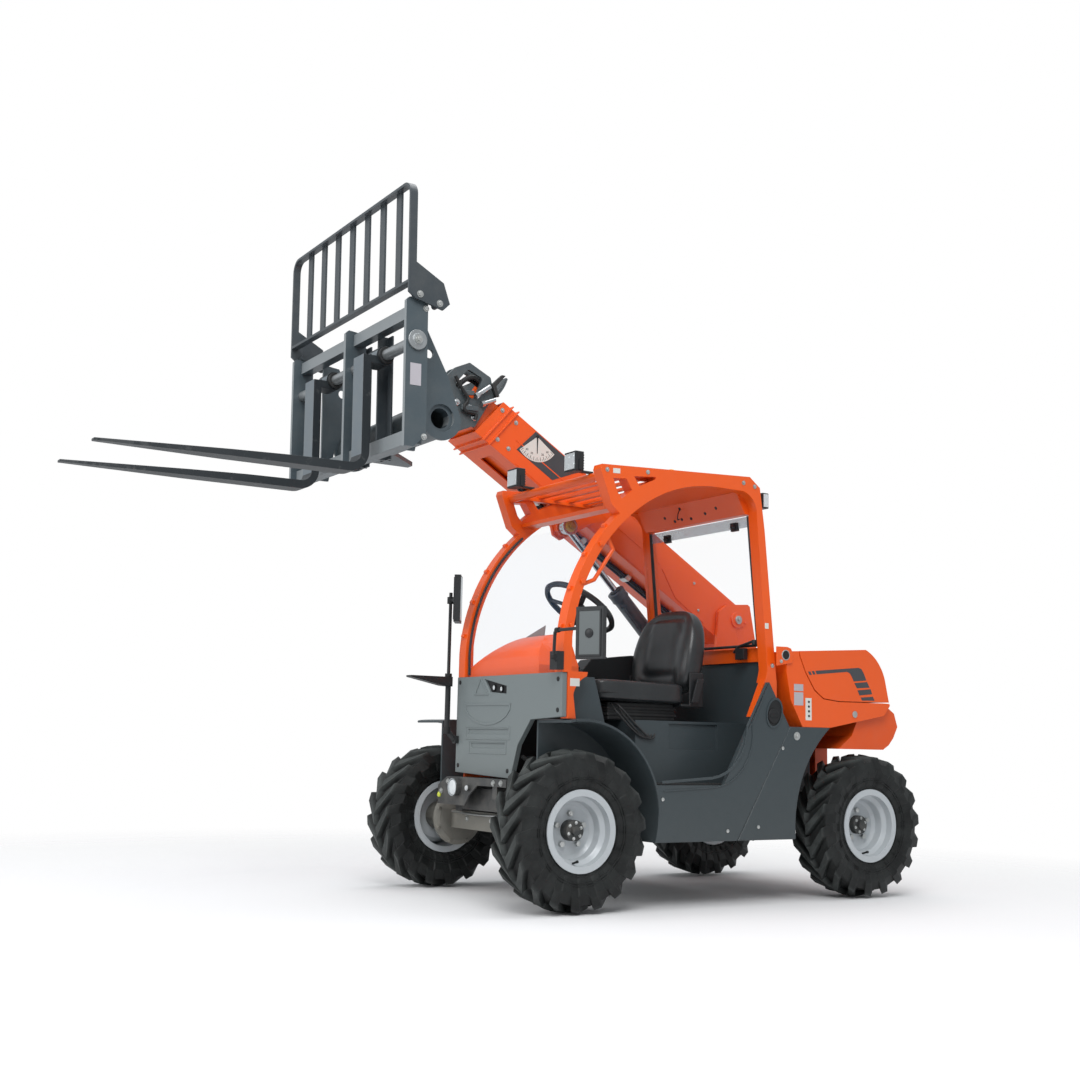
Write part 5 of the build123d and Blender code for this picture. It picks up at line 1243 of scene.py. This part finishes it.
for s in (0.3, 0.64, 0.98, 1.32):
    spots = [
        (-0.45, BOOM_LOW + 0.002), (-0.52, BOOM_LOW + 0.002), (-0.52, BOOM_LOW - 0.01), (-0.512, BOOM_LOW - 0.028),
        (-0.458, BOOM_LOW - 0.028), (-0.45, BOOM_LOW - 0.01),
    ]
    slab(clamps, [on_boom(x, s, n) for x, n in spots], along * 0.03)
piece("hose_clamps", clamps, zinc, 0.001, body="boom")

# ------------------------------------------------------------------ lift cylinder
# Dark enamelled barrel with a screwed gland and a painted pipe along its lower left side, and a chromed rod with
# an eye that a brass-coloured bolt closes.

barrel_paint = enamel("barrel_paint", srgb(74, 78, 82), 0.35, 0.1, 0.2, 0.2)
dress("lift_barrel", "lift_cylinder_barrel", barrel_paint, 0.003)
rod_chrome = steel("rod_chrome", srgb(210, 212, 214), 0.1, 1.0)
dress("lift_rod", "lift_cylinder_rod", rod_chrome, 0.002)
BASE, EYE = Vector((-0.29, 0.56, 0.946)), Vector((-0.29, -0.299, 1.793))
lift_way = (EYE - BASE).normalized()
lift_side = Vector((0.62, 0, 0)) + lift_way.cross(Vector((1, 0, 0))) * -0.78
lift_side = (lift_side - lift_way * lift_side.dot(lift_way)).normalized()
pipe = bmesh.new()
rows = [(0.09, 0.04), (0.092, 0.052), (0.12, 0.058), (0.4, 0.058), (0.65, 0.058), (0.68, 0.052), (0.69, 0.038)]
hose(pipe, [BASE + lift_way * s + lift_side * n for s, n in rows], 0.007, 12)
for s in (0.09, 0.69):
    spot = BASE + lift_way * s + lift_side * 0.034
    turned(pipe, spot, lift_side, [(0, 0.015), (0.014, 0.015), (0.014, 0.011), (0.022, 0.011)], 6)
for s in (0.724, 0.764):
    button(pipe, BASE + lift_way * s, lift_way, 0.0475, 0.003, 0.004, 0.044, 48, low=-0.004)
piece("cylinder_pipe", pipe, barrel_paint, body="lift_cylinder_barrel")
wiper = bmesh.new()
turned(
    wiper, BASE + lift_way * 0.764, lift_way, [(0, 0.03), (0.01, 0.03), (0.013, 0.026), (0.013, 0.0182), (0, 0.0182)],
    48, True,
)
piece("rod_wiper", wiper, mat_rubber, body="lift_cylinder_barrel")
eye = bmesh.new()
bolt(eye, EYE + Vector((0.036, 0, 0)), LEFT, 0.014)
button(eye, EYE + Vector((0.036, 0, 0)), LEFT, 0.03, 0.003, 0.004, 0.027, 36)
brass = steel("brass", srgb(196, 158, 84), 0.3)
piece("rod_eye_bolt", eye, brass, body="lift_cylinder_rod")

# ------------------------------------------------------------------ boom head
# Grey casting on the end of the boom with the cross tube's rims, three hoses that come out of the boom's mouth
# and turn down, one more on its left side, their chromed couplings, two elbows and a black rubber boot.

head_cast = enamel("head_cast", srgb(74, 83, 87), 0.4, 0.1, 0.2, 0.15, 0.25)
dress("boom_head", "boom_extension", head_cast, 0.004, segments=3)
hose_rubber = bpy.data.materials["hose_rubber"]
head_hoses = bmesh.new()
couplings = bmesh.new()
for x, lift in ((-0.372, 0.0), (-0.397, 0.012), (-0.422, 0.0)):
    path = [
        (1.925, -0.04), (1.935, 0.05 + lift), (1.975, 0.092 + lift), (2.03, 0.08 + lift), (2.06, 0.0), (2.05, -0.11),
        (2.08, -0.19),
    ]
    hose(head_hoses, [on_boom(x, s, n) for s, n in path], 0.0105, 12)
    for s, n, way in ((1.926, -0.03, square), (2.052, -0.08, -square)):
        spot = on_boom(x, s, n)
        turned(couplings, spot, way, [(-0.012, 0.0135), (0.02, 0.0135)], 20)
        turned(couplings, spot, way, [(-0.024, 0.0155), (-0.008, 0.0155)], 6)
for s, n in ((1.96, -0.07), (2.03, -0.09), (1.915, -0.095)):
    button(couplings, on_boom(BOOM_LEFT - 0.002, s, n), LEFT, 0.017, 0.004, 0.006, 0.013, 28, low=-0.002)
    bolt(couplings, on_boom(BOOM_LEFT + 0.003, s, n), LEFT, 0.008)
side_run = (
    (-0.951, 2.488), (-0.912, 2.43), (-0.876, 2.383), (-0.898, 2.34), (-0.88, 2.317), (-0.83, 2.312), (-0.832, 2.285),
)
hose(head_hoses, [(-0.326, y, z) for y, z in side_run], 0.009, 12)
for start, end in (((-0.823, 2.412), (-0.752, 2.464)), ((-0.786, 2.373), (-0.722, 2.4))):
    pin(couplings, (-0.326, *start), (-0.326, *end), 0.0125, 24)
    way = (Vector((-0.326, *end)) - Vector((-0.326, *start))).normalized()
    turned(couplings, (-0.326, *start), way, [(-0.014, 0.0165), (0.004, 0.0165)], 6)
piece("head_hoses", head_hoses, hose_rubber, body="boom_extension")
boot = bmesh.new()
side_plate(
    boot, -0.322,
    ((-0.662, 2.535), (-0.684, 2.536), (-0.742, 2.478), (-0.716, 2.418), (-0.696, 2.421), (-0.716, 2.472)), -0.022,
)
piece("head_boot", boot, mat_rubber, 0.003, body="boom_extension")
elbows = bmesh.new()
for rows in (
    ((-0.91, 2.324), (-0.91, 2.352), (-0.815, 2.352), (-0.815, 2.328)),
    ((-0.901, 2.4), (-0.901, 2.424), (-0.841, 2.43), (-0.841, 2.406)),
):
    side_plate(elbows, -0.338, rows, 0.014)
piece("head_elbows", elbows, head_cast, 0.003, body="boom_extension")
piece("head_couplings", couplings, rod_chrome, body="boom_extension")
PIVOT = Vector((0, -1.436, 2.059))
rims = bmesh.new()
for x, out in ((0.43, 1), (-0.43, -1)):
    hoop(rims, (x, PIVOT.y, PIVOT.z), (out, 0, 0), -0.006, 0.001, 0.0815, 0.064, 48)
piece("cross_tube_rims", rims, head_cast, body="boom_extension")

# ------------------------------------------------------------------ carriage
# Welded carriage of three uprights and two rails in slate enamel, hung on the head's tube, with thin plates inside
# and a blank label. Its faces that look ahead carry a painted highlight, a paler copy of the slate. The fork shaft is
# bare steel with washers, end bolts and four black rubber collars.

carriage_paint = enamel("carriage_paint", srgb(70, 81, 87), 0.36, 0.05, 0.12, 0.25)
rack_paint = enamel("rack_paint", srgb(56, 63, 68), 0.36, 0.05, 0.12, 0.25)
# Painted highlight: a paler copy of the slate for the faces that look ahead, where the light falls.
face_paint = enamel("face_paint", srgb(128, 134, 137), 0.36, 0.05, 0.12, 0.25)
shaft_steel = steel("shaft_steel", srgb(170, 174, 176), 0.32, 0.8)
dress("carriage_frame", "carriage", carriage_paint, 0.003,
      zones=((face_paint, lambda spots, normal: normal.y < -0.9 and min(p.z for p in spots) < 2.6),))
dress("fork_shaft", "carriage", shaft_steel, 0.003)
TILT = Matrix.Rotation(math.radians(1.0), 3, "X")


def on_carriage(x, y, z):
    """Point given on the level carriage, tilted with it about the cross tube."""
    return TILT @ (Vector((x, y, z)) - PIVOT) + PIVOT


SHAFT_Y, SHAFT_Z = -1.64, 2.33
ends = bmesh.new()
for x, out in ((0.616, 1), (-0.616, -1)):
    spot = on_carriage(x, SHAFT_Y, SHAFT_Z)
    turned(ends, spot, (out, 0, 0), [(-0.003, 0.018), (0.003, 0.018)], 28)
    bolt(ends, spot + Vector((0.003 * out, 0, 0)), (out, 0, 0), 0.009)
piece("shaft_end_bolts", ends, zinc, body="carriage")
rubbers = bmesh.new()
for x in (0.318, 0.198, -0.202, -0.322):
    hoop(rubbers, on_carriage(x, SHAFT_Y, SHAFT_Z), LEFT, -0.009, 0.009, 0.036, 0.0245, 36)
piece("shaft_collars", rubbers, mat_rubber, 0.002, body="carriage")
label = bmesh.new()
rows = ((-1.668, 2.14), (-1.618, 2.14), (-1.618, 2.232), (-1.668, 2.232))
slab(label, [on_carriage(0.6, *p) for p in rows], (0.001, 0, 0))
piece("carriage_blank_plate", label, grey_film, body="carriage")
inner = bmesh.new()
for x, rows in ((0.16, ((-1.606, 1.905), (-1.536, 1.905), (-1.536, 2.455), (-1.606, 2.455))),
                (-0.055, ((-1.6, 1.905), (-1.545, 1.905), (-1.545, 2.455), (-1.6, 2.455)))):
    slab(inner, [on_carriage(x, *p) for p in rows], (0.012, 0, 0))
    cross = ((x - 0.04, 1.905), (x - 0.04, 2.455), (x + 0.052, 2.455), (x + 0.052, 1.905))
    slab(inner, [on_carriage(a, -1.56, z) for a, z in cross], (0, 0.008, 0))
piece("carriage_inner_plates", inner, rack_paint, 0.001, body="carriage")
trim = bmesh.new()
for y, z in ((-1.6, 2.47), (-1.6, 1.93)):
    for x, out in ((0.6, 1), (-0.6, -1)):
        bolt(trim, on_carriage(x, y, z), (out, 0, 0), 0.009)
piece("carriage_bolts", trim, zinc, body="carriage")

# ------------------------------------------------------------------ forks
# Two forged steel tines in near-black enamel, worn to bare metal towards their tips, with a painted highlight, a
# lighter grey, on the shanks' faces that look ahead.


def fork_finish():
    finish = Finish("fork_finish", Coat_Roughness=0.2)
    ahead = 0 - finish.add("ShaderNodeSeparateXYZ", inputs={0: finish.spot()}, output="Y")
    tip = finish.ramp(ahead * 0.4, (0.6, 0.0), (0.8, 1.0))
    scuffs = finish.ramp(finish.noise(18.0, 8.0, 0.7) + tip * 0.16, (0.6, 0.0), (0.66, 1.0))
    streaks = finish.ramp(finish.noise(90.0, 3.0), (0.55, 0.0), (0.7, 1.0))
    worn = scuffs * 0.55 + streaks * tip * 0.3
    finish.feed("Base Color", finish.between(worn * 0.5, srgb(30, 36, 40), srgb(120, 122, 122)))
    finish.feed("Metallic", worn * 0.8)
    finish.feed("Roughness", 0.42 - worn * 0.08)
    finish.bump(finish.noise(120.0, 3.0), 0.12, 0.001)
    return finish.material


fork_paint = fork_finish()
# Painted highlight: a lighter grey for the shanks' faces that look ahead.
shank_highlight_paint = enamel("shank_highlight_paint", srgb(104, 114, 121), 0.35, 0.2, 0.25, 0.2)
dress("forks", "carriage", fork_paint, 0.004, segments=3,
      zones=((shank_highlight_paint, lambda spots, normal: normal.y < -0.9 and min(p.z for p in spots) > 1.88),))

# ------------------------------------------------------------------ load backrest
# Welded rack of seven flat bars in a bent frame, dark slate enamel, pinned to the carriage's ends by two bolts on
# each side.

dress("load_backrest", "carriage", rack_paint, 0.0025)
rest_bolts = bmesh.new()
for y, z in ((-1.64, 2.52), (-1.548, 2.495)):
    for out in (-1, 1):
        bolt(rest_bolts, on_carriage(out * 0.6215, y, z), (out, 0, 0), 0.01)
piece("rest_bolts", rest_bolts, zinc, body="carriage")

# ------------------------------------------------------------------ floor, light and camera
# A pale floor that fades into a white backdrop, soft even studio light from above and in front, and a low camera
# ahead of the left front wheel.

floor_finish = Finish("pale_floor", Roughness=0.9, Base_Color=srgb(226, 226, 227))
rows = floor_finish.add("ShaderNodeVectorMath", {"operation": "LENGTH"}, {0: floor_finish.spot()}, "Value")
floor_finish.feed("Alpha", floor_finish.ramp(rows * 0.1, (0.17, 1.0), (0.5, 0.0)))
floor_mesh = bpy.data.meshes.new("floor")
floor_mesh.from_pydata([(-40, -40, 0), (40, -40, 0), (40, 40, 0), (-40, 40, 0)], [], [(0, 1, 2, 3)])
floor_mesh.materials.append(floor_finish.material)
floor = placed("floor", floor_mesh)

world = bpy.data.worlds.new("studio")
world.use_nodes = True
sky = Nodes(world.node_tree)
sky_light = world.node_tree.nodes["Background"]
sky_light.inputs["Color"].default_value = (0.94, 0.97, 1.0, 1.0)
sky_light.inputs["Strength"].default_value = 0.62
white = sky.add("ShaderNodeBackground", {}, {"Color": (1.0, 1.0, 1.0, 1.0), "Strength": 1.0})
seen = sky.add("ShaderNodeLightPath", output="Is Camera Ray")
through = sky.add("ShaderNodeLightPath", output="Is Transmission Ray")
soft = Wire(sky, sky_light.outputs[0])
mixed = sky.add("ShaderNodeMixShader", {}, {0: seen + through, 1: soft, 2: white})
sky.join(world.node_tree.nodes["World Output"].inputs["Surface"], mixed)
bpy.context.scene.world = world


LIGHT_AIM = Vector((0.0, -0.4, 1.0))


def softbox(name, spot, size, power):
    lamp = bpy.data.lights.new(name, "AREA")
    lamp.shape = "RECTANGLE"
    lamp.size, lamp.size_y = size
    lamp.energy = power
    light = placed(name, lamp)
    light.location = HOME + Vector(spot)
    light.rotation_euler = (HOME + LIGHT_AIM - light.location).to_track_quat("-Z", "Y").to_euler()


softbox("key", (5.0, -4.0, 6.5), (4.0, 4.0), 380.0)
softbox("front", (-1.0, -8.0, 4.0), (5.0, 4.0), 220.0)
softbox("top", (0.0, 0.5, 8.0), (6.0, 6.0), 260.0)

AZIMUTH = math.radians(57.504)
ELEVATION = math.radians(-8.311)
ROLL = math.radians(1.2165)
level = math.cos(ELEVATION)
back = Vector((math.sin(AZIMUTH) * level, -math.cos(AZIMUTH) * level, math.sin(ELEVATION)))
right = Vector((0, 0, 1)).cross(back).normalized()
up = back.cross(right)
cam_x = right * math.cos(ROLL) + up * math.sin(ROLL)
cam_y = up * math.cos(ROLL) - right * math.sin(ROLL)
glass = bpy.data.cameras.new("camera")
glass.sensor_width = 36.0
glass.lens = 46.07
camera = placed("camera", glass)
turn = Matrix((cam_x, cam_y, back)).transposed().to_4x4()
camera.matrix_world = Matrix.Translation(HOME + Vector((5.517, -4.157, 0.705))) @ turn
bpy.context.scene.camera = camera
bpy.context.scene.view_settings.view_transform = "Standard"
